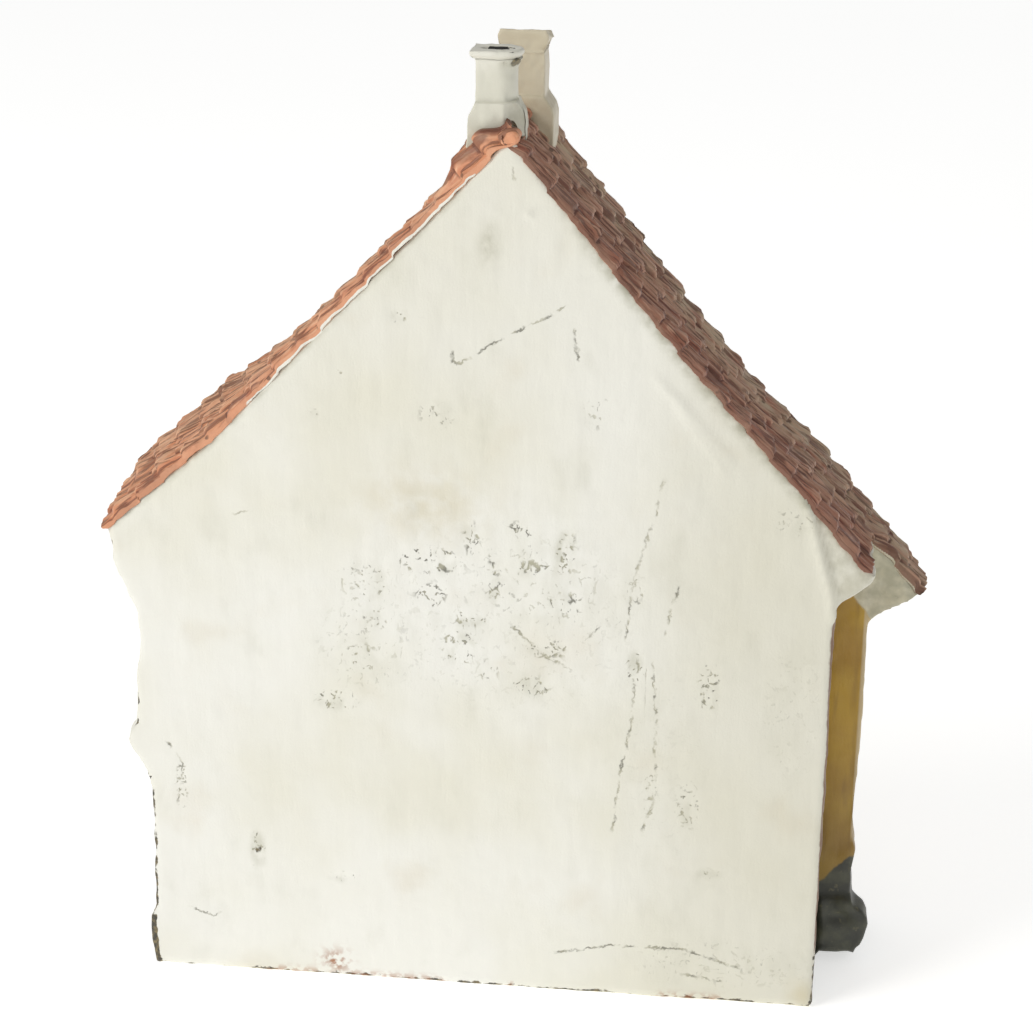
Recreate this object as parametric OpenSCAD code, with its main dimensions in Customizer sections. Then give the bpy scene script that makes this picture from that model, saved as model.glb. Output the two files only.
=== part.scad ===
// House-shaped still bank: two cast-iron half cases, tiled roof plates, two chimneys and a sliding coin trap.
// X runs across the gable, Y from the plain back gable (-Y) to the dressed front (+Y), Z up from the table.

/* [House] */
// Depth of the whole bank, from the plain gable to the verge of the dressed one
depth = 27; // [26:0.5:30]
// Depth of the back half of the case
back_depth = 14; // [13.5:0.5:14.5]
// Thickness of the cast gable plates and side walls
wall = 3; // [2.6:0.1:3.2]
// Height of the gable's apex under the tiles
apex_z = 122.3; // [120:0.1:124]
// Sideways place of the ridge
ridge_x = -0.9; // [-1.5:0.1:0]

/* [Roof] */
// Least thickness of the tile layer
tile_low = 0.8; // [0.6:0.1:1]
// Height of a tile course at its lower edge
tile_high = 1.5; // [1.2:0.1:1.6]
// Length of one tile course down the slope
course = 4.15; // [3.5:0.05:6]
// Thickness of the roof casting between the gable plates
roof_plate = 2.2; // [1.6:0.1:2.6]

/* [Coin slot] */
// Length of the coin slot, down the slope
slot_length = 31; // [26:0.5:33]
// Width of the coin slot
slot_width = 3.4; // [2.6:0.1:3.8]
// Distance of the slot's upper end from the ridge
slot_start = 18; // [17:0.5:19]

/* [Chimneys] */
// Height of the back chimney's top
back_chimney_z = 131.6; // [130:0.1:133]
// Height of the front chimney's top
front_chimney_z = 133; // [131:0.1:135]

/* [Coin trap] */
// Length of the outlet in the base plate
outlet_length = 32; // [26:0.5:32]
// Width of the outlet in the base plate
outlet_width = 11; // [8:0.5:11]
// Travel of the trap slide
trap_travel = 33; // [28:0.5:33]

/* [Hidden] */
$fn = 48;

// Paint and metal colours
white_paint = "#ecebe2";
yellow_paint = "#a97f2e";
red_paint = "#9a5a44";
bare_iron = "#55524e";
bare_steel = "#a9a9a6";

// Side walls: outer faces of the two halves, and the inner faces they share
left_x = -51.5;
right_back_x = 43;
right_front_x = 48;
inner_left = left_x + wall;
inner_right = right_back_x - wall;
jetty_z = 34.5;
jetty_out = 2.9;

// Roof corners under the tiles
apex = [ridge_x, apex_z];
left_kink = [-41, 80.2];
left_eave = [-55.75, 67.3];
right_eave_back = [46.8, 65.3];
right_eave_front = [55.4, 57.1];

// Case screws: the lower two near the side walls and one under the ridge
screw_r = 1.5;
screw_clear = 0.15;
boss_r = 3.6;
low_screws = [[-44.6, 16], [36.2, 16]];
ridge_screw = [ridge_x, 104];
screw_head_r = 3;
screw_head_h = 1.6;
thread_depth = 5;
lug_thickness = 2.4;
lug_y = [9.6, 12.6];

// Dressed front: the facade plane lies behind the verge by this much, and the reliefs fill it
facade_back = 1.6;
facade_y = depth - facade_back;
plinth_z = 10.4;

// Base plate, held in grooves of the two gable plates
base_z = 4.5;
base_t = 3;
groove = 0.8;
play = 0.1;

// Trap slide and its rails
rail_z = 1;
rail_w = 2;
lip_t = 1.2;
slide_play = 0.3;
slide_t = 1.6;
slide_w = 14.6;
slide_length = 42;
slide_x = -43;
mid_y = 12.8;

// Chimneys: places of their plans and the tenons below
back_chimney_x = [-6.6, 0.4];
back_chimney_y = [2.7, 9.2];
front_chimney_x = [-5, 2.8];
front_chimney_y = [15.8, 22.4];
tenon = 3;
tenon_foot_z = 112;
pin_r = 0.8;
pin_z = 114;

// Points of a smooth bend from a to c, drawn towards b
function bend(a, b, c, n) =
    [for (i = [0 : n]) let (t = i / n) (1 - t) * (1 - t) * a + 2 * t * (1 - t) * b + t * t * c];

// Height of the roof line under the tiles between two corners
function on_line(a, b, x) = a[1] + (b[1] - a[1]) * (x - a[0]) / (b[0] - a[0]);

// Saw-toothed top of the tile courses from the ridge corner a to the eave corner b; side is -1 on the left
function courses(a, b, side) =
    let (
        run = b - a,
        count = round(norm(run) / course),
        out = [side * abs(run[1]), abs(run[0])] / norm(run)
    )
    [for (i = [0 : count - 1])
        for (k = [0, 1])
            a + run * (i + k) / count + out * (k == 0 ? tile_low : tile_high)];

// Left side of both halves, from the foot up to the eave: wall, jetty and bracket
left_profile = concat(
    [[left_x, 0], [left_x, jetty_z - 7], [left_x - jetty_out, jetty_z - 0.7]],
    [[left_x - jetty_out, jetty_z + 0.7], [left_x - 1.7, jetty_z + 5]],
    bend([left_x - 0.8, 50], [left_x - 1.6, 60.5], [left_eave[0] + 0.9, left_eave[1] - 3], 6)
);

back_outline = concat(
    left_profile,
    [left_eave, left_kink, apex, right_eave_back],
    bend([46.4, 64.4], [46, 60], [right_back_x, 57.5], 6),
    [[right_back_x, 0]]
);

front_outline = concat(
    left_profile,
    [left_eave, left_kink, apex, right_eave_back, right_eave_front],
    [[53, 55.2], [48.9, 53.2], [right_front_x, 51.8], [right_front_x, 0]]
);

// Open space between the side walls, running out through the roof line
chamber = [
    [inner_left, -1],
    [inner_left, on_line(left_eave, left_kink, inner_left) + 3],
    [ridge_x, apex_z + 4],
    [inner_right, on_line(apex, right_eave_back, inner_right) + 3],
    [inner_right, -1]
];

// Places a flat XZ shape as a slab between two depths from the back gable
module slab(from_y, to_y)
    translate([0, to_y - depth / 2, 0])
        rotate([90, 0, 0])
            linear_extrude(to_y - from_y)
                children();

// Cylinder along Y between two depths, at a place in the XZ plane
module along_y(place, r, from_y, to_y)
    translate([place[0], to_y - depth / 2, place[1]])
        rotate([90, 0, 0])
            cylinder(r = r, h = to_y - from_y);

// Block between two corners, with its depths measured from the back gable
module block(low, high)
    translate([low[0], low[1] - depth / 2, low[2]])
        cube(high - low);

// Groove for the base plate's edges in both gable plates
module base_groove()
    block(
        [inner_left, wall - groove, base_z - play],
        [inner_right, facade_y - wall + groove, base_z + base_t + play]
    );

// Bosses for the case screws in one half, from its plate to the given depths
module bosses(plate_y, low_y, ridge_y) {
    for (place = low_screws)
        along_y(place, boss_r, min(plate_y, low_y), max(plate_y, low_y));
    along_y(ridge_screw, boss_r, min(plate_y, ridge_y), max(plate_y, ridge_y));
}

module back_casting()
    color(white_paint)
        difference() {
            union() {
                slab(0, wall)
                    polygon(back_outline);
                slab(wall - 0.5, back_depth)
                    difference() {
                        polygon(back_outline);
                        polygon(chamber);
                    }
                bosses(wall - 0.5, back_depth, lug_y[0] - play);
            }
            for (place = concat(low_screws, [ridge_screw]))
                along_y(place, screw_r, thread_depth, back_depth + 1);
            base_groove();
        }

// Window of the dressed front: a raised frame with cross bars
module window(centre, size) {
    slab(facade_y - 0.2, depth - 0.3)
        translate(centre)
            difference() {
                square(size + [2.4, 2.4], center = true);
                square(size, center = true);
            }
    slab(facade_y - 0.2, depth - 0.8)
        translate(centre) {
            square([0.8, size[1] + 1], center = true);
            square([size[0] + 1, 0.8], center = true);
        }
}

// Shutters on both sides of a window
module shutters(centre, size)
    slab(facade_y - 0.2, depth - 0.6)
        for (side = [-1, 1])
            translate(centre + [side * (size[0] / 2 + 3.4), 0])
                square([3.6, size[1] + 2], center = true);

// Ground-floor and upper windows of the dressed front
ground_windows = [[-28, 20], [22, 20]];
upper_windows = [[-34, 52], [-11, 52], [12, 52], [33, 52]];
window_size = [9, 13];
attic_window = [ridge_x, 86];
attic_size = [9, 12];
door_x = -2;
door_size = [12, 25];

module front_reliefs() {
    slab(facade_y - 0.2, depth - 0.2)
        translate([left_x + 0.2, 0])
            square([right_front_x - left_x - 0.4, plinth_z]);
    slab(facade_y - 0.2, depth - 0.3)
        translate([left_x + 0.2, jetty_z])
            square([right_front_x - left_x - 0.4, 2.4]);
    slab(facade_y - 0.2, depth - 0.3)
        translate([left_x + 4, 69])
            square([87, 2]);
    for (centre = concat(ground_windows, upper_windows))
        window(centre, window_size);
    for (centre = ground_windows)
        shutters(centre, window_size);
    window(attic_window, attic_size);
    slab(facade_y - 0.2, depth - 0.1)
        translate([door_x, door_size[1] / 2])
            square(door_size + [3, 0], center = true);
}

module front_casting()
    color(yellow_paint)
        difference() {
            union() {
                slab(facade_y - wall, facade_y)
                    polygon(front_outline);
                slab(back_depth, facade_y - wall + 0.5)
                    difference() {
                        polygon(front_outline);
                        polygon(chamber);
                    }
                front_reliefs();
                slab(back_depth - 1, depth - 0.2)
                    polygon([
                        [right_back_x + 0.3, 0],
                        [right_front_x + 2.1, 0],
                        [right_front_x + 2.8, 4],
                        [right_front_x + 2.8, 8.8],
                        [right_front_x + 1.4, plinth_z],
                        [right_back_x + 0.3, plinth_z]
                    ]);
                slab(back_depth, depth - 0.2)
                    polygon([[left_x + 1, 0], [left_x - 0.9, 0.8], [left_x - 1.2, 7], [left_x + 1, 9.5]]);
                bosses(facade_y - wall + 0.5, back_depth, lug_y[1] + lug_thickness + play);
            }
            for (place = concat(low_screws, [ridge_screw])) {
                along_y(place, screw_r + screw_clear, back_depth - 1, depth);
                along_y(place, screw_head_r + 0.3, facade_y - 0.6, depth + 1);
            }
            base_groove();
        }

// Half-width notch in a roof plate for one chimney tenon
module tenon_notch(y)
    block(
        [ridge_x - tenon / 2 - play, y[0] + 1.6 - play, tenon_foot_z],
        [ridge_x + tenon / 2 + play, y[0] + 1.6 + tenon + play, apex_z + 5]
    );

// Lug under a roof plate with the hole for the ridge screw; side is -1 on the left
module roof_lug(side, y)
    difference() {
        slab(y, y + lug_thickness)
            intersection() {
                union() {
                    translate(ridge_screw)
                        circle(r = 4.2);
                    polygon([
                        ridge_screw + [-side * 3, 2.9],
                        ridge_screw + [side * 0.4, -4.2],
                        ridge_screw + [side * 10, 5.4],
                        ridge_screw + [side * 3.5, 13.4]
                    ]);
                }
                polygon([[left_kink[0], 70], left_kink, apex, right_eave_back, [40, 70]]);
            }
        along_y(ridge_screw, screw_r + screw_clear, y - 1, y + lug_thickness + 1);
    }

// Inner layer of a roof plate, which fits between the gable plates
module inner_layer(corners)
    slab(wall + play, facade_y - wall - play)
        polygon(corners);

module roof_left() {
    ends_x = inner_left + play;
    color(red_paint)
        difference() {
            union() {
                slab(0, depth)
                    polygon(concat(
                        courses(apex, left_kink, -1),
                        courses(left_kink, left_eave + [-0.5, -0.5], -1),
                        [left_eave, left_kink, apex, apex + [0, tile_high]]
                    ));
                inner_layer([
                    apex,
                    left_kink,
                    [ends_x, on_line(left_eave, left_kink, ends_x)],
                    [ends_x, on_line(left_eave, left_kink, ends_x) - roof_plate * 1.3],
                    left_kink + roof_plate * [sin(slope), -cos(slope)],
                    apex - [0, roof_plate / cos(slope)]
                ]);
                roof_lug(-1, lug_y[0]);
            }
            tenon_notch(back_chimney_y);
            tenon_notch(front_chimney_y);
            coin_slot();
            baffle_rivet_shanks(0.05);
        }
}

module roof_right() {
    ends_x = inner_right - play;
    color(red_paint)
        difference() {
            union() {
                slab(0, back_depth)
                    polygon(concat(
                        courses(apex, right_eave_back + [0.5, -0.6], 1),
                        [right_eave_back, apex, apex + [0, tile_high]]
                    ));
                slab(back_depth, depth)
                    polygon(concat(
                        courses(apex, right_eave_back, 1),
                        courses(right_eave_back, right_eave_front + [0.7, -0.6], 1),
                        [right_eave_front, right_eave_back, apex, apex + [0, tile_high]]
                    ));
                inner_layer([
                    apex,
                    [ends_x, on_line(apex, right_eave_back, ends_x)],
                    [ends_x, on_line(apex, right_eave_back, ends_x) - roof_plate * 1.5],
                    apex - [0, roof_plate / cos(slope)]
                ]);
                roof_lug(1, lug_y[1]);
            }
            tenon_notch(back_chimney_y);
            tenon_notch(front_chimney_y);
        }
}

// Frame on the left slope: X down the slope from the ridge, Y deep, Z out of the roof
slope = atan2(apex[1] - left_kink[1], apex[0] - left_kink[0]);

module on_left_slope()
    translate([apex[0], -depth / 2, apex[1]])
        mirror([1, 0, 0])
            rotate([0, slope, 0])
                children();

module coin_slot()
    on_left_slope()
        translate([slot_start + slot_width / 2, mid_y, -6]) {
            translate([0, -slot_width / 2, 0])
                cube([slot_length - slot_width, slot_width, 12]);
            for (end = [0, slot_length - slot_width])
                translate([end, 0, 0])
                    cylinder(d = slot_width, h = 12);
        }

// Sheet-steel guard under the slot, which keeps coins from being shaken out
baffle_t = 0.8;
baffle_top = -roof_plate - 0.08;
baffle_low = baffle_top - baffle_t;
rivet_r = 0.9;
rivet_head_h = 0.9;
rivet_places = [slot_start + 6, slot_start + slot_length - 6];
rivet_y = mid_y + 5.4;

module baffle_rivet_shanks(extra)
    on_left_slope()
        for (s = rivet_places)
            translate([s, rivet_y, baffle_low - 0.1])
                cylinder(r = rivet_r + extra, h = 0.3 - baffle_low);

module slot_baffle()
    color(bare_steel)
        difference() {
            on_left_slope()
                translate([slot_start - 1, 0, baffle_top])
                    rotate([90, 0, 90])
                        linear_extrude(slot_length + 2)
                            polygon([
                                [mid_y + 8, 0],
                                [mid_y + 2.6, 0],
                                [mid_y - 3.5, -9],
                                [mid_y - 2.8, -9.4],
                                [mid_y + 3, -baffle_t],
                                [mid_y + 8, -baffle_t]
                            ]);
            baffle_rivet_shanks(0.05);
        }

module baffle_rivets()
    color(bare_steel) {
        baffle_rivet_shanks(0);
        on_left_slope()
            for (s = rivet_places)
                translate([s, rivet_y, baffle_low - 0.03 - rivet_head_h])
                    cylinder(r = rivet_r * 1.9, h = rivet_head_h);
    }

// Plan of a chimney: square on the left and half round on the right
module chimney_plan(x, y, grow) {
    r = (y[1] - y[0]) / 2 + grow;
    translate([x[0] - grow, y[0] - grow - depth / 2])
        square([x[1] - x[0] - r + 2 * grow, 2 * r]);
    translate([x[1] + grow - r, (y[0] + y[1]) / 2 - depth / 2])
        circle(r = r);
}

// Everything below the tiles' tops, which a chimney's foot is cut to
module roof_body() {
    cover = tile_high / cos(slope) + 0.15;
    slab(-1, depth + 1)
        polygon([
            left_kink + [0, cover],
            [ridge_x - 1.6, on_line(left_kink, apex, ridge_x - 1.6) + cover],
            [ridge_x, apex_z + tile_high + 0.05],
            [ridge_x + 1.6, on_line(apex, right_eave_back, ridge_x + 1.6) + cover + 0.1],
            right_eave_back + [0, cover + 0.1],
            [right_eave_back[0], 60],
            [left_kink[0], 60]
        ]);
}

// Chimney: shaft, flared foot straddling the ridge, cap, flue and the tenon under it
module chimney(x, y, top_z, shaft_in, round_plan) {
    foot_z = apex_z + 2.4;
    cap_h = 2;
    flue_x = (x[0] + x[1]) / 2 - 1.2;
    difference() {
        union() {
            difference() {
                union() {
                    translate([0, 0, foot_z - 1])
                        linear_extrude(top_z - foot_z)
                            if (round_plan)
                                chimney_plan(x, y, -shaft_in);
                            else
                                translate([x[0] + shaft_in, y[0] + shaft_in - depth / 2])
                                    square([x[1] - x[0] - 2 * shaft_in, y[1] - y[0] - 2 * shaft_in]);
                    translate([0, 0, top_z - cap_h])
                        linear_extrude(cap_h)
                            if (round_plan)
                                chimney_plan(x, y, 0);
                            else
                                translate([x[0], y[0] - depth / 2])
                                    square([x[1] - x[0], y[1] - y[0]]);
                    slab(y[0], y[1])
                        polygon([
                            [x[0] - 0.3, foot_z - 10],
                            [x[0] - 0.3, foot_z - 0.4],
                            [x[0] + shaft_in, foot_z + 1.2],
                            [x[1] - shaft_in, foot_z + 1.2],
                            [x[1] + 0.3, foot_z - 0.4],
                            [x[1] + 0.3, foot_z - 10]
                        ]);
                }
                roof_body();
            }
            block([ridge_x - tenon / 2, y[0] + 1.6, tenon_foot_z], [ridge_x + tenon / 2, y[0] + 1.6 + tenon, foot_z]);
        }
        for (side = [0, 2.4])
            translate([flue_x + side, (y[0] + y[1]) / 2 - depth / 2, top_z - 4])
                cylinder(r = 1, h = 5);
        block(
            [flue_x, (y[0] + y[1]) / 2 - 1, top_z - 4],
            [flue_x + 2.4, (y[0] + y[1]) / 2 + 1, top_z + 1]
        );
        translate([ridge_x - tenon, y[0] + 1.6 + tenon / 2 - depth / 2, pin_z])
            rotate([0, 90, 0])
                cylinder(r = pin_r, h = 2 * tenon);
    }
}

module back_chimney()
    color(white_paint)
        chimney(back_chimney_x, back_chimney_y, back_chimney_z, 0.6, true);

module front_chimney()
    color(white_paint)
        chimney(front_chimney_x, front_chimney_y, front_chimney_z, 0.5, false);

// Cross pins through the tenons, under the roof plates
module chimney_pins()
    color(bare_steel)
        for (y = [back_chimney_y[0], front_chimney_y[0]])
            translate([ridge_x - 3.5, y + 1.6 + tenon / 2 - depth / 2, pin_z])
                rotate([0, 90, 0])
                    cylinder(r = pin_r, h = 7);

// Round-headed slotted machine screws from the front half into the back half
module case_screws()
    color(bare_steel)
        for (place = concat(low_screws, [ridge_screw]))
            difference() {
                union() {
                    along_y(place, screw_r, thread_depth + 1, facade_y - 0.6);
                    along_y(place, screw_head_r, facade_y - 0.6, facade_y - 0.6 + screw_head_h);
                }
                translate([place[0] - 4, facade_y + 0.3 - depth / 2, place[1] - 0.4])
                    cube([8, 2, 0.8]);
            }

slide_y = mid_y - slide_w / 2;
rail_y = slide_y - slide_play - rail_w;
rail_end_x = slide_x + slide_length + trap_travel + slide_play;

module base_plate()
    color(bare_iron)
        difference() {
            union() {
                block(
                    [inner_left + play, wall - groove + play, base_z],
                    [inner_right - play, facade_y - wall + groove - play, base_z + base_t]
                );
                block(
                    [slide_x - slide_play - 2, rail_y, rail_z],
                    [rail_end_x + 1.2, rail_y + 2 * (rail_w + slide_play) + slide_w, base_z + 0.5]
                );
            }
            block(
                [slide_x - slide_play, slide_y - slide_play, rail_z + lip_t],
                [rail_end_x, slide_y + slide_w + slide_play, base_z]
            );
            block(
                [slide_x - slide_play, slide_y + 1.7, rail_z - 1],
                [rail_end_x, slide_y + slide_w - 1.7, base_z]
            );
            block(
                [slide_x + 3, mid_y - outlet_width / 2, base_z - 1],
                [slide_x + 3 + outlet_length, mid_y + outlet_width / 2, base_z + base_t + 1]
            );
            block([tip_x - 3, mid_y - 2.4, base_z - 1], [tip_x + 3, mid_y + 2.4, base_z + base_t + 1]);
            spring_rivet_shanks(0.05);
        }

// Steel slide under the outlet, with a thumb ridge
module trap_slide()
    color(bare_steel) {
        block(
            [slide_x, slide_y, rail_z + lip_t + slide_play],
            [slide_x + slide_length, slide_y + slide_w, rail_z + lip_t + slide_play + slide_t]
        );
        block(
            [slide_x + 4, mid_y - 4, rail_z + 0.2],
            [slide_x + 6, mid_y + 4, rail_z + lip_t + slide_play + 0.2]
        );
    }

spring_t = 0.5;
tip_x = -5;
spring_rivet_places = [[tip_x + 9, mid_y], [tip_x + 15, mid_y]];

module spring_rivet_shanks(extra)
    for (place = spring_rivet_places)
        translate([place[0], place[1] - depth / 2, base_z + 0.4])
            cylinder(r = rivet_r + extra, h = base_t + spring_t - 0.3);

// Leaf spring whose bent tip presses on the slide through a window in the base plate
module trap_spring()
    color(bare_steel)
        difference() {
            slab(mid_y - 2, mid_y + 2)
                polygon([
                    [tip_x + 19, base_z + base_t],
                    [tip_x + 19, base_z + base_t + spring_t],
                    [tip_x + 2.4, base_z + base_t + spring_t],
                    [tip_x + 1, base_z + 0.2],
                    [tip_x - 1, base_z + 0.2],
                    [tip_x - 2, base_z + 1.6],
                    [tip_x - 2.4, base_z + 1.3],
                    [tip_x - 1.3, base_z - 0.3],
                    [tip_x + 1.3, base_z - 0.3],
                    [tip_x + 2.9, base_z + base_t]
                ]);
            spring_rivet_shanks(0.05);
        }

module trap_spring_rivets()
    color(bare_steel) {
        spring_rivet_shanks(0);
        for (place = spring_rivet_places)
            translate([place[0], place[1] - depth / 2, base_z + base_t + spring_t])
                cylinder(r = rivet_r * 1.8, h = 0.8);
    }

back_casting();
front_casting();
roof_left();
roof_right();
back_chimney();
front_chimney();
chimney_pins();
case_screws();
base_plate();
trap_slide();
trap_spring();
trap_spring_rivets();
slot_baffle();
baffle_rivets();
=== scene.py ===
"""Looks of a house-shaped cast-iron still bank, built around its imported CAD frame.

Shapes are sculpted in millimetres, in the CAD frame; Blender's own lengths are metres.
"""

import itertools
import math

import bmesh
import bpy
import numpy as np
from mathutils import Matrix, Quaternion, Vector


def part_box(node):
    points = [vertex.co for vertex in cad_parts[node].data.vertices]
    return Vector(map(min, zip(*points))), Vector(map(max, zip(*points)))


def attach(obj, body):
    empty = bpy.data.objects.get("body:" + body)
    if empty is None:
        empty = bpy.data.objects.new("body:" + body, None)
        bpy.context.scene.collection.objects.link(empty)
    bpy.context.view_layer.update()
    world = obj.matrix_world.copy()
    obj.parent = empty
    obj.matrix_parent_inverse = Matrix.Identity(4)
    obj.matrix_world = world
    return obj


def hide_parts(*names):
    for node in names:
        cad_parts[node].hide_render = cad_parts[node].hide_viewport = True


MM = 0.001
CASE = "case"

# Roof lines under the tiles, as (x, z), from the ridge to the eave
APEX = (-0.9, 122.3)
LEFT_ROOF = (APEX, (-41.0, 80.2), (-55.75, 67.3))
RIGHT_ROOF = (APEX, (46.8, 65.3), (55.4, 57.1))
# Voxel sizes of the case halves, the roof plates and the small pieces
CASE_VOXEL = 0.52
ROOF_VOXEL = 0.27
SMALL_VOXEL = 0.2
# Faces of the case, as in the frame
BACK_Y = -13.5
STEP_Y = 0.5
FACADE_Y = 11.9
LEFT_X = -51.5
RIGHT_BACK_X = 43.0
RIGHT_FRONT_X = 48.0

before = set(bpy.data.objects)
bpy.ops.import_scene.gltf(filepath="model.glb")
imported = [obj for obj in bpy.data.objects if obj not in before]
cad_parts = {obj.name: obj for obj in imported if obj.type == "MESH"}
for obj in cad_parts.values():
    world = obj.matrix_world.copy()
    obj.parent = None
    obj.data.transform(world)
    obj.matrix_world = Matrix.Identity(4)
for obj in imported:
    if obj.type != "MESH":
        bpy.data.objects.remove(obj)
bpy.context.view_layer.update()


# ---------------------------------------------------------------- numbers and fields


def smooth(value, low, high):
    """0 below low and 1 above high, with a soft step between."""
    t = np.clip((value - low) / (high - low), 0, 1)
    return t * t * (3 - 2 * t)


def fade(value, low, high):
    """1 below low and 0 above high."""
    return 1 - smooth(value, low, high)


def bell(offset, width):
    """1 where offset is 0, dying away within about twice the width."""
    return np.exp(-((offset / width) ** 2))


def soft_noise(points, size, seed):
    """Smooth random field from -1 to 1 with blobs of the given size, one number or one for each axis."""
    lattice = np.random.default_rng(seed).uniform(-1, 1, (32, 32, 32))
    scaled = points / np.asarray(size, float) + 500.0
    cell = np.floor(scaled).astype(int)
    part = scaled - cell
    part = part * part * (3 - 2 * part)
    total = np.zeros(len(points))
    for corner in itertools.product((0, 1), repeat=3):
        weight = np.prod(np.where(corner, part, 1 - part), axis=1)
        index = (cell + corner) % 32
        total += weight * lattice[index[:, 0], index[:, 1], index[:, 2]]
    return total


def path_distance(x, z, path):
    """Distance to a path of (x, z) points, the side of it, and the way along it from 0 to 1."""
    best = np.full(len(x), 1e9)
    side = np.zeros(len(x))
    along = np.zeros(len(x))
    lengths = [math.dist(a, b) for a, b in zip(path, path[1:])]
    start = 0.0
    for a, b, length in zip(path, path[1:], lengths):
        ux, uz = (b[0] - a[0]) / length, (b[1] - a[1]) / length
        t = np.clip((x - a[0]) * ux + (z - a[1]) * uz, 0, length)
        dx, dz = x - a[0] - t * ux, z - a[1] - t * uz
        distance = np.hypot(dx, dz)
        closer = distance < best
        best = np.where(closer, distance, best)
        side = np.where(closer, np.sign(dx * uz - dz * ux), side)
        along = np.where(closer, (start + t) / sum(lengths), along)
        start += length
    return best, side, along


# ---------------------------------------------------------------- meshes
# x, y and z taken from points are views of it: what changes them moves the points, and the other way round

def vectors(rows, name):
    """Rows of three numbers, read from a mesh."""
    flat = np.empty(len(rows) * 3, np.float32)
    rows.foreach_get(name, flat)
    return flat.reshape(-1, 3).astype(float)


def points_of(mesh):
    """Places of a mesh's vertices in millimetres."""
    return vectors(mesh.vertices, "co") / MM


def normals_of(mesh):
    return vectors(mesh.vertex_normals, "vector")


def put_points(mesh, points):
    mesh.vertices.foreach_set("co", (points * MM).astype(np.float32).ravel())
    mesh.update()


def add_fields(mesh, **fields):
    """Stores one number for each vertex under each name, for a material to read."""
    for name, values in fields.items():
        field = mesh.attributes.new(name, "FLOAT", "POINT")
        field.data.foreach_set("value", np.full(len(mesh.vertices), values, np.float32))


def mesh_from(shell, name):
    """Turns an edit mesh into a mesh, and frees it."""
    mesh = bpy.data.meshes.new(name)
    shell.to_mesh(mesh)
    shell.free()
    return mesh


def shown(name, data):
    """New object of the scene with this mesh, light or camera."""
    obj = bpy.data.objects.new(name, data)
    bpy.context.scene.collection.objects.link(obj)
    return obj


def evenly_meshed(mesh, voxel, smoothing=2):
    """Closed mesh of even quads with the corners of a casting worn round."""
    work = shown("work", mesh)
    grid = work.modifiers.new("grid", "REMESH")
    grid.mode = "VOXEL"
    grid.voxel_size = voxel * MM
    relax = work.modifiers.new("relax", "SMOOTH")
    relax.factor = 0.5
    relax.iterations = smoothing
    graph = bpy.context.evaluated_depsgraph_get()
    result = bpy.data.meshes.new_from_object(work.evaluated_get(graph))
    bpy.data.objects.remove(work)
    return result


def node_mesh(node, reshape=None):
    """Copy of a CAD node's mesh, with its corners moved first where reshape is given."""
    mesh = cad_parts[node].data.copy()
    mesh.materials.clear()
    if reshape:
        put_points(mesh, reshape(points_of(mesh)))
    return mesh


def add_piece(name, mesh, material, nodes=(), body=CASE):
    """Shows a mesh as a piece that rides on a body and stands for the named CAD nodes."""
    piece = shown(name, mesh)
    mesh.name = name
    mesh.materials.clear()
    mesh.materials.append(material)
    mesh.shade_smooth()
    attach(piece, body)
    if nodes:
        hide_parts(*nodes)
    return piece


# ---------------------------------------------------------------- materials


def linear(red, green, blue):
    """A picture colour of 0 to 255 as the linear colour that Blender's sockets take."""
    def channel(value):
        value /= 255
        return value / 12.92 if value <= 0.04045 else ((value + 0.055) / 1.055) ** 2.4
    return (channel(red), channel(green), channel(blue), 1.0)


def math_node(operation):
    """Method of Field that gives the result of a math node."""
    def method(self, *others):
        node = self.paint.node("ShaderNodeMath", operation=operation)
        for socket, value in zip(node.inputs, (self, *others)):
            self.paint.feed(value, socket)
        return Field(self.paint, node.outputs[0])
    return method


class Field:
    """One number of a material at each place; its operators add math nodes, so masks read as formulas."""

    def __init__(self, paint, socket):
        self.paint = paint
        self.socket = socket

    __add__ = math_node("ADD")
    __sub__ = math_node("SUBTRACT")
    __mul__ = math_node("MULTIPLY")
    lower = math_node("MINIMUM")
    upper = math_node("MAXIMUM")
    size = math_node("ABSOLUTE")

    def flipped(self):
        return self * -1.0 + 1.0

    def rise(self, low, high):
        """0 below low and 1 above high, with a soft step between."""
        span = {"Value": self, "From Min": low, "From Max": high}
        node = self.paint.node("ShaderNodeMapRange", span, interpolation_type="SMOOTHSTEP")
        return Field(self.paint, node.outputs[0])

    def fall(self, low, high):
        return self.rise(low, high).flipped()


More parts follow.
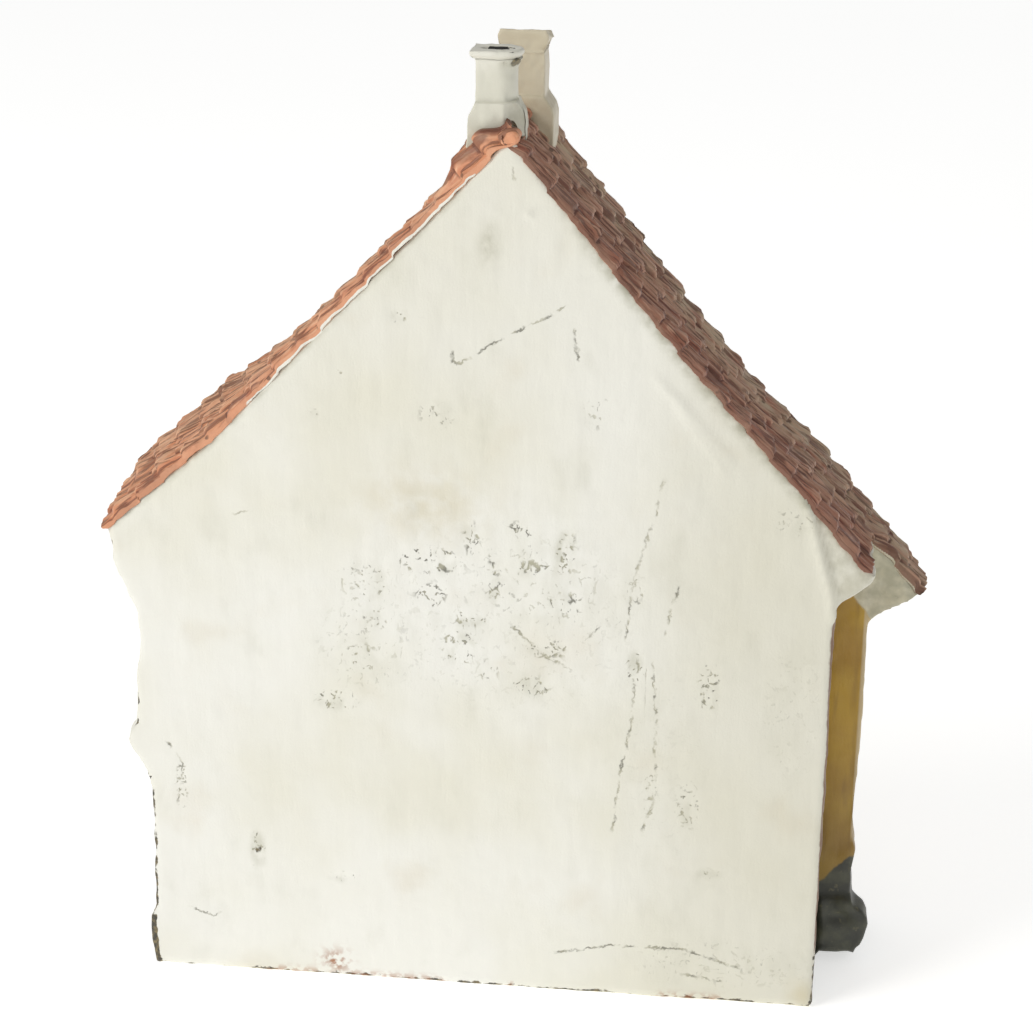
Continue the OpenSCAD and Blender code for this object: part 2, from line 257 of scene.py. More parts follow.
class Paint:
    """A procedural material under construction; self.x, self.y and self.z are the place in millimetres."""

    def __init__(self, name, roughness=0.5, metallic=0.0, specular=0.5):
        self.material = bpy.data.materials.new(name)
        self.material.use_nodes = True
        self.tree = self.material.node_tree
        self.shader = self.tree.nodes["Principled BSDF"]
        self.shader.inputs["Roughness"].default_value = roughness
        self.shader.inputs["Metallic"].default_value = metallic
        self.shader.inputs["Specular IOR Level"].default_value = specular
        self.colour = (255, 255, 255)
        metres = self.node("ShaderNodeTexCoord").outputs["Object"]
        scale = {"Vector": metres, "Scale": 1 / MM}
        self.place = self.node("ShaderNodeVectorMath", scale, operation="SCALE").outputs[0]
        parts = self.node("ShaderNodeSeparateXYZ", {"Vector": self.place})
        self.x, self.y, self.z = (Field(self, socket) for socket in parts.outputs)

    def node(self, kind, inputs=None, **settings):
        """New shader node with its settings, and with values or links for its inputs."""
        node = self.tree.nodes.new(kind)
        for name, value in settings.items():
            setattr(node, name, value)
        for name, value in (inputs or {}).items():
            self.feed(value, node.inputs[name])
        return node

    def feed(self, value, socket):
        """Connects a field or a socket, or sets a colour of (red, green, blue) or another value."""
        if isinstance(value, Field):
            self.tree.links.new(value.socket, socket)
        elif isinstance(value, bpy.types.NodeSocket):
            self.tree.links.new(value, socket)
        elif isinstance(value, tuple):
            socket.default_value = linear(*value)
        else:
            socket.default_value = value

    def stretched(self, size, stretch, seed):
        """The place divided by the pattern's size along each axis, and moved by a seed."""
        shift = [seed * 17.3, seed * 5.1, seed * 9.7]
        shrink = [1 / (size * s) for s in stretch]
        inputs = {"Vector": self.place, "Location": shift, "Scale": shrink}
        return self.node("ShaderNodeMapping", inputs).outputs[0]

    def noise(self, size, detail=2.0, stretch=(1, 1, 1), seed=0, warp=0.0):
        """Cloudy field from 0 to 1 with blobs of the given size in millimetres."""
        place = self.stretched(size, stretch, seed)
        inputs = {"Vector": place, "Scale": 1.0, "Detail": detail, "Distortion": warp}
        return Field(self, self.node("ShaderNodeTexNoise", inputs).outputs["Fac"])

    def web(self, size, stretch, seed, bend):
        """Distance to the nearest crack of a web, whose lines are bent by a cloud."""
        place = self.stretched(size, stretch, seed)
        cloud = self.node("ShaderNodeTexNoise", {"Vector": place, "Scale": 1.3}).outputs["Color"]
        moved = self.node("ShaderNodeVectorMath", operation="MULTIPLY_ADD")
        for socket, value in zip(moved.inputs, (cloud, [bend, bend, bend], place)):
            self.feed(value, socket)
        inputs = {"Vector": moved.outputs[0], "Scale": 1.0}
        node = self.node("ShaderNodeTexVoronoi", inputs, feature="DISTANCE_TO_EDGE")
        return Field(self, node.outputs["Distance"])

    def dots(self, size, seed):
        """Distance to the nearest of many scattered points, in shares of the size."""
        inputs = {"Vector": self.stretched(size, (1, 1, 1), seed), "Scale": 1.0}
        return Field(self, self.node("ShaderNodeTexVoronoi", inputs).outputs["Distance"])

    def field(self, name):
        """Numbers that add_fields stored on the mesh."""
        return Field(self, self.node("ShaderNodeAttribute", attribute_name=name).outputs["Fac"])

    def mix(self, base, top, amount):
        """Colour that goes from base to top with the amount."""
        node = self.node("ShaderNodeMix", {"Factor": amount}, data_type="RGBA")
        self.feed(base, node.inputs[6])
        self.feed(top, node.inputs[7])
        return node.outputs[2]

    def coat(self, colour, amount):
        """Lays another colour over the paint's colour so far."""
        self.colour = self.mix(self.colour, colour, amount)

    def finish(self, roughness=None, height=None, depth=0.1, metallic=None):
        """Connects the colour and the fields; depth is the bump's height in millimetres."""
        self.feed(self.colour, self.shader.inputs["Base Color"])
        if roughness is not None:
            self.feed(roughness, self.shader.inputs["Roughness"])
        if metallic is not None:
            self.feed(metallic, self.shader.inputs["Metallic"])
        if height is not None:
            inputs = {"Strength": 1.0, "Distance": depth * MM, "Height": height}
            bump = self.node("ShaderNodeBump", inputs)
            self.feed(bump.outputs[0], self.shader.inputs["Normal"])
        return self.material


def specks(paint, size, share, seed, radius=0.16):
    """Small dots, one in some of the cells; share is about how much of the surface's cells hold one."""
    dots = paint.dots(size, seed).fall(radius * 0.6, radius)
    return dots * paint.noise(size * 3.1, detail=0, seed=seed + 3).rise(1 - share, 1 - share + 0.04)


def flakes(paint, size, seed):
    """Short curved lines of uneven width where paint has chipped along fine cracks."""
    web = paint.web(size, (1, 1, 1.35), seed, bend=1.1)
    swell = paint.noise(size * 0.30, detail=3, seed=seed + 7) * 0.19
    broken = paint.noise(size * 0.42, detail=2, seed=seed + 5).rise(0.54, 0.62)
    return (web + 0.085 - swell).fall(0.0, 0.06) * broken


def chips_and_scratches(paint):
    """Marks down to the primer: chipped patches, wandering scratches and lone specks."""
    worn = paint.field("worn")
    chipped = flakes(paint, 3.4, 11).upper(flakes(paint, 1.8, 15)) * worn.rise(0.05, 0.75)
    torn = paint.noise(1.1, detail=4, stretch=(1.3, 1, 0.8), seed=19, warp=0.6)
    chipped = chipped.upper(torn.rise(0.62, 0.69) * worn.rise(0.3, 0.9))
    wander = (paint.noise(1.8, detail=3, seed=20) - 0.5) * 1.1
    wander = wander + (paint.noise(0.5, detail=2, seed=24) - 0.5) * 0.9
    scratch = (paint.field("scratch") + wander).size().fall(0.03, 0.26) * paint.field("scratched")
    scratch = scratch * paint.noise(1.6, detail=4, seed=23).rise(0.38, 0.60) * 0.8
    lone = specks(paint, 2.6, 0.22, 26, radius=0.10) * 0.7
    return chipped.upper(scratch).upper(lone)


def white_paint(name, grime=0.35, beige=0.3):
    """Old white oil paint on iron, with cream clouds, painted shade toward the right and the top, grime,
    marks, bare iron and rust.

    Returns the paint with its roughness and height, for more coats over it.
    """
    paint = Paint(name, roughness=0.42)
    clouds = paint.noise(26, detail=3, seed=2)
    paint.colour = paint.mix((238, 237, 229), (226, 223, 205), clouds.rise(0.35, 0.75) * 0.8)
    # Painted shade: greyer toward the right and toward the top.
    shade = (paint.x.rise(5, 32) * 0.55).upper(paint.z.rise(62, 112) * 0.30)
    paint.coat((210, 206, 185), shade)
    beige_cloud = paint.noise(14, detail=4, seed=8).rise(0.55, 0.8)
    paint.coat((206, 192, 162), beige_cloud * beige)
    # Stained patches on the gable; on the eave block of the dressed half this is painted shade.
    stain = paint.field("stain") * paint.noise(3.5, detail=4, seed=9).rise(0.2, 0.7)
    paint.coat((205, 194, 160), stain * 0.7)
    film = paint.noise(5, detail=5, seed=4, stretch=(1, 1, 1.8))
    paint.coat((176, 174, 152), film.rise(0.55, 0.8) * (0.45 * grime))
    # Painted shade under the roofs and eaves, in the dip beyond the lip and on the chimneys, mixed with a
    # few grimy spots.
    dirt = paint.field("dirt") * paint.noise(1.6, detail=4, seed=6).rise(0.15, 0.75)
    paint.coat((166, 163, 140), dirt.lower(0.85))
    smear = paint.noise(2.6, detail=3, stretch=(1, 1, 1.6), seed=18).rise(0.45, 0.7) * paint.field("worn")
    paint.coat((186, 184, 164), smear * 0.5)
    marks = chips_and_scratches(paint)
    tint = paint.mix((164, 160, 134), (92, 90, 76), paint.noise(1.7, seed=25).rise(0.45, 0.66))
    paint.coat(tint, marks.lower(0.82))
    bitten = paint.field("bare") + (paint.noise(1.1, detail=3, seed=27) - 0.5) * 0.9
    bitten = bitten.rise(0.42, 0.56)
    iron = paint.mix((70, 66, 56), (134, 120, 86), paint.noise(0.7, seed=29).rise(0.4, 0.7))
    paint.coat(iron, bitten)
    rusty = paint.field("rust") * paint.noise(1.2, detail=4, seed=31).rise(0.42, 0.6)
    paint.coat((158, 92, 34), rusty.lower(0.9))
    strokes = paint.noise(1.5, detail=3, stretch=(1, 1, 5), seed=33)
    grain = paint.noise(0.35, detail=2, seed=35)
    height = strokes * 0.6 + grain * 0.16 - marks * 0.5 - bitten * 0.5
    roughness = (film * 0.24 + 0.30) + marks * 0.25 + bitten * 0.2
    return paint, roughness, height


def inner_iron(paint, inside):
    """Bare dark cast iron where inside is 1."""
    skin = paint.mix((52, 48, 44), (92, 70, 52), paint.noise(3, detail=4, seed=41).rise(0.4, 0.7))
    paint.coat(skin, inside)


def chamber_mask(paint):
    """1 inside the coin chamber, between the side walls and the gable plates."""
    across = paint.x.rise(-48.8, -48.6) * paint.x.fall(40.1, 40.3)
    deep = paint.y.rise(-10.8, -10.6) * paint.y.fall(8.9, 9.1)
    return across * deep


def yellow_wall(paint, amount):
    """Ochre house paint, darker and browner toward the ground as painted shade."""
    ochre = paint.mix((184, 150, 52), (164, 128, 42), paint.noise(7, detail=4, seed=51).rise(0.3, 0.7))
    streak = paint.noise(1.4, detail=3, stretch=(1, 1, 7), seed=53).rise(0.5, 0.75)
    ochre = paint.mix(ochre, (126, 94, 38), streak * 0.4)
    # Painted shade: darker and browner toward the ground.
    ochre = paint.mix(ochre, (104, 80, 34), paint.z.fall(14, 40) * 0.5)
    chips = flakes(paint, 2.6, 55) * paint.noise(9, seed=57).rise(0.58, 0.66) * paint.y.rise(2, 3)
    ochre = paint.mix(ochre, (70, 60, 44), chips * 0.8)
    paint.coat(ochre, amount)


def green_foot(paint, amount):
    """Dark green plinth paint with olive rubbed highlights."""
    green = paint.mix((54, 55, 46), (76, 77, 60), paint.noise(2.6, detail=4, seed=61).rise(0.35, 0.7))
    rubbed = paint.noise(1.1, detail=3, seed=63).rise(0.6, 0.72)
    green = paint.mix(green, (116, 110, 78), rubbed * 0.5)
    paint.coat(green, amount)


def back_material():
    """White gable, with the side walls of the back half painted as the front half is."""
    paint, roughness, height = white_paint("gable_white")
    wobble = (paint.noise(1.6, detail=3, seed=71) - 0.5) * 1.6
    behind = (paint.y + wobble * 0.4).rise(BACK_Y + 0.75, BACK_Y + 1.0)
    beside = paint.x.rise(42.3, 42.5) * (paint.z + wobble * 0.5).fall(59.6, 60.2)
    edge = (paint.y + wobble * 0.2).rise(BACK_Y + 0.25, BACK_Y + 0.45) * beside
    paint.coat((128, 98, 76), edge * paint.z.rise(8, 10))
    right = (paint.y + wobble * 0.4).rise(BACK_Y + 2.6, BACK_Y + 3.0) * beside
    left = paint.x.fall(-50.9, -50.7) * behind * (paint.z + wobble).fall(31.0, 31.5)
    yellow_wall(paint, right)
    brick = paint.mix((158, 82, 66), (120, 56, 46), paint.noise(2.2, detail=3, seed=73))
    paint.coat(brick, left)
    foot = right.upper(left) * (paint.z + wobble).fall(13.2, 13.8)
    green_foot(paint, foot)
    inner_iron(paint, chamber_mask(paint))
    return paint.finish(roughness, height, depth=0.16)


def front_material():
    """Dressed half: ochre walls, white eaves and mouldings, green plinth."""
    paint, roughness, height = white_paint("dressed_case_paint", grime=0.9, beige=0.9)
    wobble = (paint.noise(1.5, detail=3, seed=81) - 0.5) * 1.2
    under_eave = (paint.z + paint.x.upper(43.5) * 1.33 + wobble).fall(117.8, 118.6)
    cornice = ((paint.z - 35.7).size() + wobble * 0.1).rise(1.35, 1.5)
    cornice = cornice * ((paint.z - 70.0).size() + wobble * 0.1).rise(1.15, 1.3)
    facade = paint.y.rise(FACADE_Y - 0.4, FACADE_Y - 0.2)
    wall = under_eave * (cornice.flipped() * facade).flipped()
    gable = paint.z.rise(71.0, 71.2) * facade
    yellow_wall(paint, wall.upper(gable))
    edge = paint.x.rise(47.3, 47.6) * paint.y.fall(STEP_Y + 0.5, STEP_Y + 0.9)
    edge = edge * (paint.z + wobble).rise(19, 21) * under_eave
    paint.coat((196, 180, 146), edge * 0.8)
    ground = (paint.x - 43.0).upper(0.0).lower(4.5) * 1.1 * facade.flipped()
    foot = (paint.z + wobble * 0.8 - ground).fall(12.0, 12.6)
    green_foot(paint, foot)
    inner_iron(paint, chamber_mask(paint))
    return paint.finish(roughness, height, depth=0.14)


def chimney_material(name, far):
    """White chimney paint with grime and a near-black flue mouth painted as shade; the far chimney's is a
    darker, beiger copy painted as shade.
    """
    # Painted shade: the far chimney gets more beige clouds and a darker beige coat than the near one.
    paint, roughness, height = white_paint(name, grime=1.2, beige=1.3 if far else 0.3)
    if far:
        paint.coat((208, 196, 168), 0.8)
    else:
        paint.coat((206, 204, 184), paint.z.fall(129, 132) * 0.5)
    # Near-black in the flue mouth: painted shade.
    paint.coat((34, 31, 28), paint.field("flue_shade").rise(0.3, 0.6))
    return paint.finish(roughness, height, depth=0.12)


def tile_material(name, dusty, body, rubbed, verge):
    """Red roof paint: a tone for each tile, pale streaks of rubbed paint and painted highlight, brown
    grooves with painted shade, and dust.
    """
    paint = Paint(name, roughness=0.5)
    paint.colour = paint.mix(body, rubbed, paint.field("tone") * 0.45)
    brown = paint.noise(3.5, detail=3, seed=91).rise(0.5, 0.72)
    paint.coat((150, 66, 44), brown * 0.5)
    orange = paint.noise(6, detail=2, seed=93).rise(0.55, 0.7)
    paint.coat((204, 112, 58), orange * (0.45 - 0.4 * dusty))
    # Pale streaks on the raised lines: rubbed paint and painted highlight.
    paint.coat(rubbed, paint.field("streak").rise(0.3, 0.85) * 0.6)
    fine = paint.noise(0.45, detail=3, seed=95)
    dust = paint.noise(4, detail=4, seed=97).rise(0.2, 0.7) * (paint.y.rise(-9, 9) * 0.9 + 0.2)
    paint.coat((196, 174, 146), dust * dusty)
    fibres = paint.noise(0.42, detail=2, stretch=(11, 1, 11), seed=92)
    broad = paint.noise(1.1, detail=2, stretch=(7, 1, 7), seed=94)
    # Paler on the raised fibres: rubbed paint and painted highlight.
    paint.coat(rubbed, fibres.rise(0.54, 0.68) * 0.75)
    cracks = fibres.fall(0.36, 0.45).upper(broad.fall(0.36, 0.42))
    # Dark joints and cracks, with painted shade in the low places and under the tile ends.
    groove = paint.field("groove").rise(0.25, 0.85).upper(cracks * 0.8)
    paint.coat((84, 40, 28), groove * 0.8)
    paint.coat(verge, paint.field("verge").rise(0.3, 0.8) * 0.7)
    paint.coat((80, 60, 46), specks(paint, 2.2, 0.42, 99, radius=0.2) * 0.7)
    inner_iron(paint, paint.field("under"))
    limed = (paint.field("limed") + (fine - 0.5) * 0.5).rise(0.35, 0.55)
    # White paint run over onto the verges, darker on the right slope as painted shade.
    lime_shaded_right = paint.mix((236, 234, 222), (196, 189, 166), paint.x.rise(0, 1))
    paint.coat(lime_shaded_right, limed)
    height = fine * 0.3 + fibres * 0.9 + broad * 0.8 - cracks * 0.5
    roughness = fine * 0.22 + 0.38 + dust * 0.1
    return paint.finish(roughness, height, depth=0.22)


def trim_material(name, base, worn, seed, roughness=0.42):
    """Brushed house paint for the trim of the dressed front, rubbed through on its high spots."""
    paint = Paint(name, roughness=roughness)
    paint.colour = paint.mix(base, worn, paint.noise(3.4, detail=4, seed=seed).rise(0.35, 0.75) * 0.6)
    strokes = paint.noise(0.8, detail=3, stretch=(1, 1, 5), seed=seed + 1)
    paint.coat(worn, strokes.rise(0.56, 0.7) * 0.4)
    chips = flakes(paint, 1.7, seed + 2) * paint.noise(5, seed=seed + 4).rise(0.45, 0.6)
    paint.coat((72, 62, 50), chips * 0.8)
    return paint.finish(strokes * 0.2 + 0.32, strokes * 0.7 - chips * 0.4, depth=0.1)


def pane_material():
    """Dark window panes painted on the casting, with a pale streak or two."""
    paint = Paint("pane_blue_grey", roughness=0.24)
    paint.colour = paint.mix((46, 56, 62), (74, 88, 94), paint.noise(3, detail=3, seed=111).rise(0.4, 0.7))
    glint = paint.noise(1.0, detail=2, stretch=(1, 1, 4), seed=113).rise(0.62, 0.7)
    paint.coat((140, 152, 152), glint * 0.5)
    roughness = paint.noise(1.3, seed=115) * 0.2 + 0.2
    return paint.finish(roughness, paint.noise(0.5, seed=117), depth=0.05)


def iron_material():
    """Bare cast iron: dark sandy skin with brown rust in the hollows."""
    paint = Paint("bare_cast_iron", roughness=0.62, metallic=0.7)
    skin = paint.noise(0.5, detail=4, seed=121)
    paint.colour = paint.mix((70, 66, 62), (112, 106, 100), skin.rise(0.3, 0.7))
    rust = paint.noise(4.5, detail=5, seed=123).rise(0.52, 0.66)
    paint.coat((122, 70, 36), rust * 0.75)
    shine = rust.flipped() * 0.8
    return paint.finish(rust * 0.2 + 0.5, skin, depth=0.16, metallic=shine)


def steel_material():
    """Rolled steel with drawing lines, dulled and spotted by age."""
    paint = Paint("aged_steel", roughness=0.36, metallic=1.0)
    lines = paint.noise(0.3, detail=3, stretch=(14, 1, 1), seed=131)
    paint.colour = paint.mix((150, 148, 142), (182, 180, 174), lines.rise(0.3, 0.7))
    spots = paint.noise(2.2, detail=5, seed=133).rise(0.56, 0.66)
    paint.coat((112, 78, 48), spots * 0.7)
    roughness = lines * 0.15 + 0.28 + spots * 0.25
    return paint.finish(roughness, lines, depth=0.04, metallic=spots.flipped())


# ---------------------------------------------------------------- roofs

# Dust, body, rubbed and verge colours of the two roof slopes; the right slope's darker body and verge are
# painted shade, beside its real dust
RED_LIT = (0.34, (214, 138, 98), (242, 194, 156), (218, 156, 120))
RED_SHADED_DUSTY = (0.92, (148, 84, 62), (204, 160, 134), (110, 76, 58))
# Height of the levelled courses over the roof line, and how far under it the carving fades out
COVER = 1.1
TILE_SKIN = 1.5
# Length of a course, a tile's lowest and highest point, and the edges of the tile columns
COURSE = 4.5
TILE_LOW = 0.68
TILE_HIGH = 1.36
COLUMN_EDGES = np.array([0.0, 4.4, 10.0, 15.4, 21.2, 27.0])
# Lift of the tiles down each slope, as (way, lift): along the near verge and along the far one
LEFT_LIFT = (
    ((0, 0), (72, 0), (84, -0.6)),
    ((0, 0), (22, -0.9), (40, -0.8), (50, -0.1), (60, 1.3), (75, 1.1), (85, -0.5)),
)
RIGHT_LIFT = (
    ((0, -0.5), (84, -0.5)),
    ((0, -0.7), (30, -1.4), (50, -1.6), (62, -0.7), (78, -0.3), (86, -0.8)),
)
# Depth of the half with the shorter right eave, where that eave begins, and where the longer one does
NEAR_HALF = 13.8
NEAR_EAVE = 73.0
FAR_EAVE = 84.0


def slope_frame(points, roof, side):
    """Way down a roof line of two straights, height above it and outward direction, for each point."""
    a, b, c = (np.array(corner) for corner in roof)
    flat = points[:, [0, 2]]
    first = (b - a) / np.linalg.norm(b - a)
    second = (c - b) / np.linalg.norm(c - b)
    bend = smooth((flat - b) @ (first + second) / 2, -2.0, 2.0)[:, None]
    down = first * (1 - bend) + second * bend
    down /= np.linalg.norm(down, axis=1)[:, None]
    out = side * np.stack([-down[:, 1], down[:, 0]], axis=1)
    out_first = side * np.array([-first[1], first[0]])
    out_second = side * np.array([-second[1], second[0]])
    bend = bend[:, 0]
    height = (flat - a) @ out_first * (1 - bend) + (flat - b) @ out_second * bend
    way = (flat - a) @ first * (1 - bend) + (np.linalg.norm(b - a) + (flat - b) @ second) * bend
    return way, height, down, out


def tile_pattern(way, depth, seed):
    """Height of staggered tiles over the roof line, with their tone, pale streaks, and dark joints with
    painted shade in the low places and a painted shadow under each tile's end.
    """
    rng = np.random.default_rng(seed)
    phases = np.array([0.15, 0.62, 0.34, 0.88, 0.5]) + rng.uniform(-0.08, 0.08, 5)
    flat = np.stack([way, depth, np.zeros(len(way))], axis=1)
    sway = depth + 0.35 * soft_noise(flat, (5, 30, 9), seed + 1)
    column = np.clip(np.searchsorted(COLUMN_EDGES, sway) - 1, 0, 4)
    ragged = 0.10 * soft_noise(flat, (2.0, 1.1, 9), seed + 2)
    along = way / COURSE + phases[column] + ragged
    row = np.floor(along).astype(int)
    part = along - row
    tile = (row * 7 + column * 13) % 97
    chance = rng.uniform(0, 1, (3, 97))
    left, right = COLUMN_EDGES[column], COLUMN_EDGES[column + 1]
    across = np.clip((sway - left) / (right - left), 0, 1)
    place = np.stack([way, depth, tile * 3.7], axis=1)
    lines = np.clip(1 - np.abs(soft_noise(place, (9.0, 0.62, 1.0), seed + 3)) * 2.2, 0, 1)
    coarse = soft_noise(place, (6.0, 1.5, 1.0), seed + 4)
    joint = bell(np.minimum(across, 1 - across) * (right - left), 0.30)
    outer = (column == 0) & (across < 0.5) | (column == 4) & (across > 0.5)
    joint = np.where(outer, 0, joint)
    rise = part ** 1.15 - 0.45 * smooth(part, 0.86, 1.0)
    height = TILE_LOW + (TILE_HIGH - TILE_LOW) * rise + 0.20 * (chance[0][tile] - 0.5)
    height += 0.10 * (1 - (2 * across - 1) ** 2) + 0.32 * lines ** 2 + 0.24 * coarse
    height -= 0.18 * joint
    # Painted shadow under the end of the tile above, and painted shade where the coarse relief is low.
    shadow = smooth(1 - part, 0.88, 0.99) * (0.4 + 0.6 * chance[2][tile])
    groove = np.clip(np.maximum(joint * 0.7, shadow) + 0.6 * smooth(-coarse, 0.25, 0.6), 0, 1)
    # The pale streaks on the raised lines are rubbed paint and painted highlight.
    return height, chance[1][tile], lines ** 2 * smooth(part, 0.05, 0.3), groove


def belly(points):
    """Bulges the right slope toward its eaves and tilts the longer eave back, like the casting."""
    way, height, _, out = slope_frame(points, RIGHT_ROOF, 1)
    depth = points[:, 1] - BACK_Y
    swell = 0.85 * smooth(way, 35, 66) * (1 - 0.5 * smooth(way, 76, 86))
    tilt = np.interp(depth, (NEAR_HALF, NEAR_HALF + 0.4, 27), (0, 1.1, -0.6))
    tilt *= smooth(way, NEAR_EAVE, NEAR_EAVE + 5)
    near_roof = smooth(height, -9, -1.5) * smooth(points[:, 0], 5, 15)
    points[:, [0, 2]] += out * ((swell + tilt) * near_roof)[:, None]
    return points


def levelled_roof(node, roof, side):
    """Fine mesh of a roof plate with the CAD's courses made level; the right one's eaves are drawn in."""

    def level(points):
        way, height, down, out = slope_frame(points, roof, side)
        lift = np.where(height > 0.4, COVER - height, 0)
        points[:, [0, 2]] += out * lift[:, None]
        if side > 0:
            near_end = (way > NEAR_EAVE - 0.5) & (points[:, 1] < BACK_Y + NEAR_HALF + 0.4)
            cut = np.where(way > FAR_EAVE, 1.6, np.where(near_end, 0.9, 0))
            points[:, [0, 2]] -= down * cut[:, None]
        return points

    return evenly_meshed(node_mesh(node, level), ROOF_VOXEL, smoothing=1)


def lime_over(way, depth, height, side, eave_verge):
    """White paint that runs over from the gable onto the left verge and from the eave onto the right."""
    over_eave = eave_verge * fade(height, 0.45, 0.7) * (depth < NEAR_HALF + 1.5)
    over_gable = smooth(way, 5, 8) * fade(way, 46, 54) * (depth < 1.5) * (side < 0)
    return np.maximum(over_eave, over_gable * fade(height, 0.3, 0.65))


def roof_piece(node, roof, side, lifts, seed, look):
    """Tiled roof plate, carved into tiles with rough verges."""
    mesh = levelled_roof(node, roof, side)
    points = points_of(mesh)
    way, height, _, out = slope_frame(points, roof, side)
    depth = points[:, 1] - BACK_Y
    tiles, tone, streak, groove = tile_pattern(way, depth, seed)
    tiles *= 1 - 0.40 * fade(depth, 0, 1.4)
    near_lift, far_lift = (np.interp(way, *zip(*lift)) for lift in lifts)
    tiles += near_lift + (far_lift - near_lift) * smooth(depth, 3, 22)
    tiles = np.maximum(tiles, -0.7)
    saddle = fade(way, 7, 12) * smooth(depth, 0.4, 1.6) * fade(depth, 9.5, 11) * (side < 0)
    # Painted shade on the saddle in front of the near chimney.
    shade_by_chimney = saddle * fade(way, 2, 5)
    tiles += 1.9 * saddle
    tiles -= (1.3 if side < 0 else 0.8) * fade(way, 0.2, 2.8) * fade(depth, 7, 9)
    eave_verge = smooth(way, NEAR_EAVE, NEAR_EAVE + 3) * (side > 0) * (depth > NEAR_HALF - 0.4)
    tiles -= 0.6 * eave_verge * fade(depth, 14, 20)
    skin = (height + TILE_SKIN).clip(0) / (COVER + TILE_SKIN)
    near = np.maximum(fade(depth, 0, 0.8), eave_verge * fade(depth, NEAR_HALF + 0.2, NEAR_HALF + 1))
    far = smooth(depth, 26.2, 27)
    lumps = soft_noise(points, (2.4, 9, 2.4), seed + 7)
    lumps += 0.5 * soft_noise(points, (1.1, 9, 1.1), seed + 8)
    visible = smooth(height, -0.35, 0.15)
    rise = skin * (tiles - COVER) + 0.30 * (near + far) * visible * lumps
    points[:, [0, 2]] += out * rise[:, None]
    points[:, 1] += (far - near) * visible * (0.10 + 0.16 * lumps)
    put_points(mesh, belly(points))
    verge = np.maximum(near, far) * smooth(height, -0.3, 0.3) * (1 - shade_by_chimney)
    carved = smooth(height / COVER, 0.2, 0.7) * (1 - 0.5 * verge)
    facing = smooth(np.abs(normals_of(mesh)[:, 1]), 0.45, 0.8)
    add_fields(
        mesh,
        tone=tone,
        streak=np.clip(streak - verge * 0.3, 0, 1),
        groove=np.maximum(groove, 0.85 * shade_by_chimney) * carved,
        under=fade(height, -0.5, -0.2),
        verge=facing * verge,
        limed=facing * lime_over(way, depth, height, side, eave_verge),
    )
    material = tile_material(node + "_tiles", *look)
    return add_piece(node + "_tiles", mesh, material, [node])


# Ridge tiles as (start, end, radius, lift over the roof lines' apex), and the rings and sides of each
RIDGE_TILES = [
    (-13.5, -10.0, 1.15, -0.1),
    (-4.7, -1.2, 1.1, 0.25),
    (-1.5, 2.6, 1.2, 0.25),
    (8.6, 13.4, 1.2, 0.25),
]
RINGS = 7
SIDES = 22


def ridge_tiles():
    """Half-round ridge tiles, lapped along the ridge and broken by the chimneys."""
    shell = bmesh.new()
    for start, end, radius, lift in RIDGE_TILES:
        loops = []
        for i in range(RINGS):
            t = i / (RINGS - 1)
            swell = radius * (0.90 + 0.10 * t) * (0.80 if i in (0, RINGS - 1) else 1.0)
            middle = Vector((APEX[0] - 0.2, start + (end - start) * t, APEX[1] + lift))
            turns = [2 * math.pi * k / SIDES for k in range(SIDES)]
            rim = [Vector((1.35 * math.cos(turn), 0, math.sin(turn))) * swell for turn in turns]
            loops.append([shell.verts.new((middle + spoke) * MM) for spoke in rim])
        for ring, after in zip(loops, loops[1:]):
            for k in range(SIDES):
                shell.faces.new((ring[k - 1], ring[k], after[k], after[k - 1]))
        shell.faces.new(loops[0])
        shell.faces.new(loops[-1])
    bmesh.ops.recalc_face_normals(shell, faces=shell.faces)
    mesh = evenly_meshed(mesh_from(shell, "ridge"), SMALL_VOXEL)
    points = points_of(mesh)
    lumps = 0.28 * soft_noise(points, 2.2, 301) + 0.14 * soft_noise(points, 0.9, 302)
    put_points(mesh, points + normals_of(mesh) * lumps[:, None])
    # Painted shade on the near ridge tile, in front of the near chimney.
    shade_by_chimney = 0.75 * smooth(points[:, 2] - APEX[1], 0.3, 1.0) * (points[:, 1] < -9)
    pits = 0.6 * np.clip(-soft_noise(points, 1.4, 305), 0, 1)
    add_fields(
        mesh,
        tone=0.5 + 0.5 * soft_noise(points, 3.0, 303),
        streak=np.clip(soft_noise(points, (0.5, 3, 0.5), 304), 0, 1),
        groove=np.maximum(shade_by_chimney, pits),
        under=0,
        verge=0,
        limed=0,
    )
    return add_piece("ridge_tiles", mesh, tile_material("ridge_tiles_paint", *RED_LIT))


# ---------------------------------------------------------------- the plain gable

# Long scratches in the gable's paint, as paths of (x, z)
SCRATCHES = [
    [(-8.2, 94.4), (-8.1, 92.7), (-7.3, 92.4), (-1.8, 96.0), (2.8, 98.6), (7.2, 101.0)],
    [(7.7, 97.7), (8.3, 93.7)],
    [(-0.5, 118.4), (-0.1, 116.8)],
    [(19.8, 78.0), (18.6, 72.0), (17.1, 66.3), (16.1, 61.9), (15.4, 54.6)],
    [(17.2, 52.5), (16.4, 42.7), (15.1, 35.1), (14.2, 25.8)],
    [(19.1, 52.0), (19.8, 43.5), (20.1, 32.3), (18.3, 26.0)],
    [(22.3, 63.0), (20.6, 55.5)],
    [(5.9, 6.1), (13.6, 7.9), (24.3, 8.2), (32.9, 5.6)],
    [(24.4, 4.2), (30.4, 3.3)],
    [(-38.1, 70.1), (-36.1, 70.7)],
    [(-0.6, 56.3), (4.7, 51.8), (8.4, 49.8)],
    [(13.0, 57.8), (10.2, 54.6)],
    [(-48.5, 35.8), (-46.5, 32.3), (-47.4, 25.8)],
    [(-46.3, 9.9), (-43.1, 8.4), (-41.4, 9.1)],
]

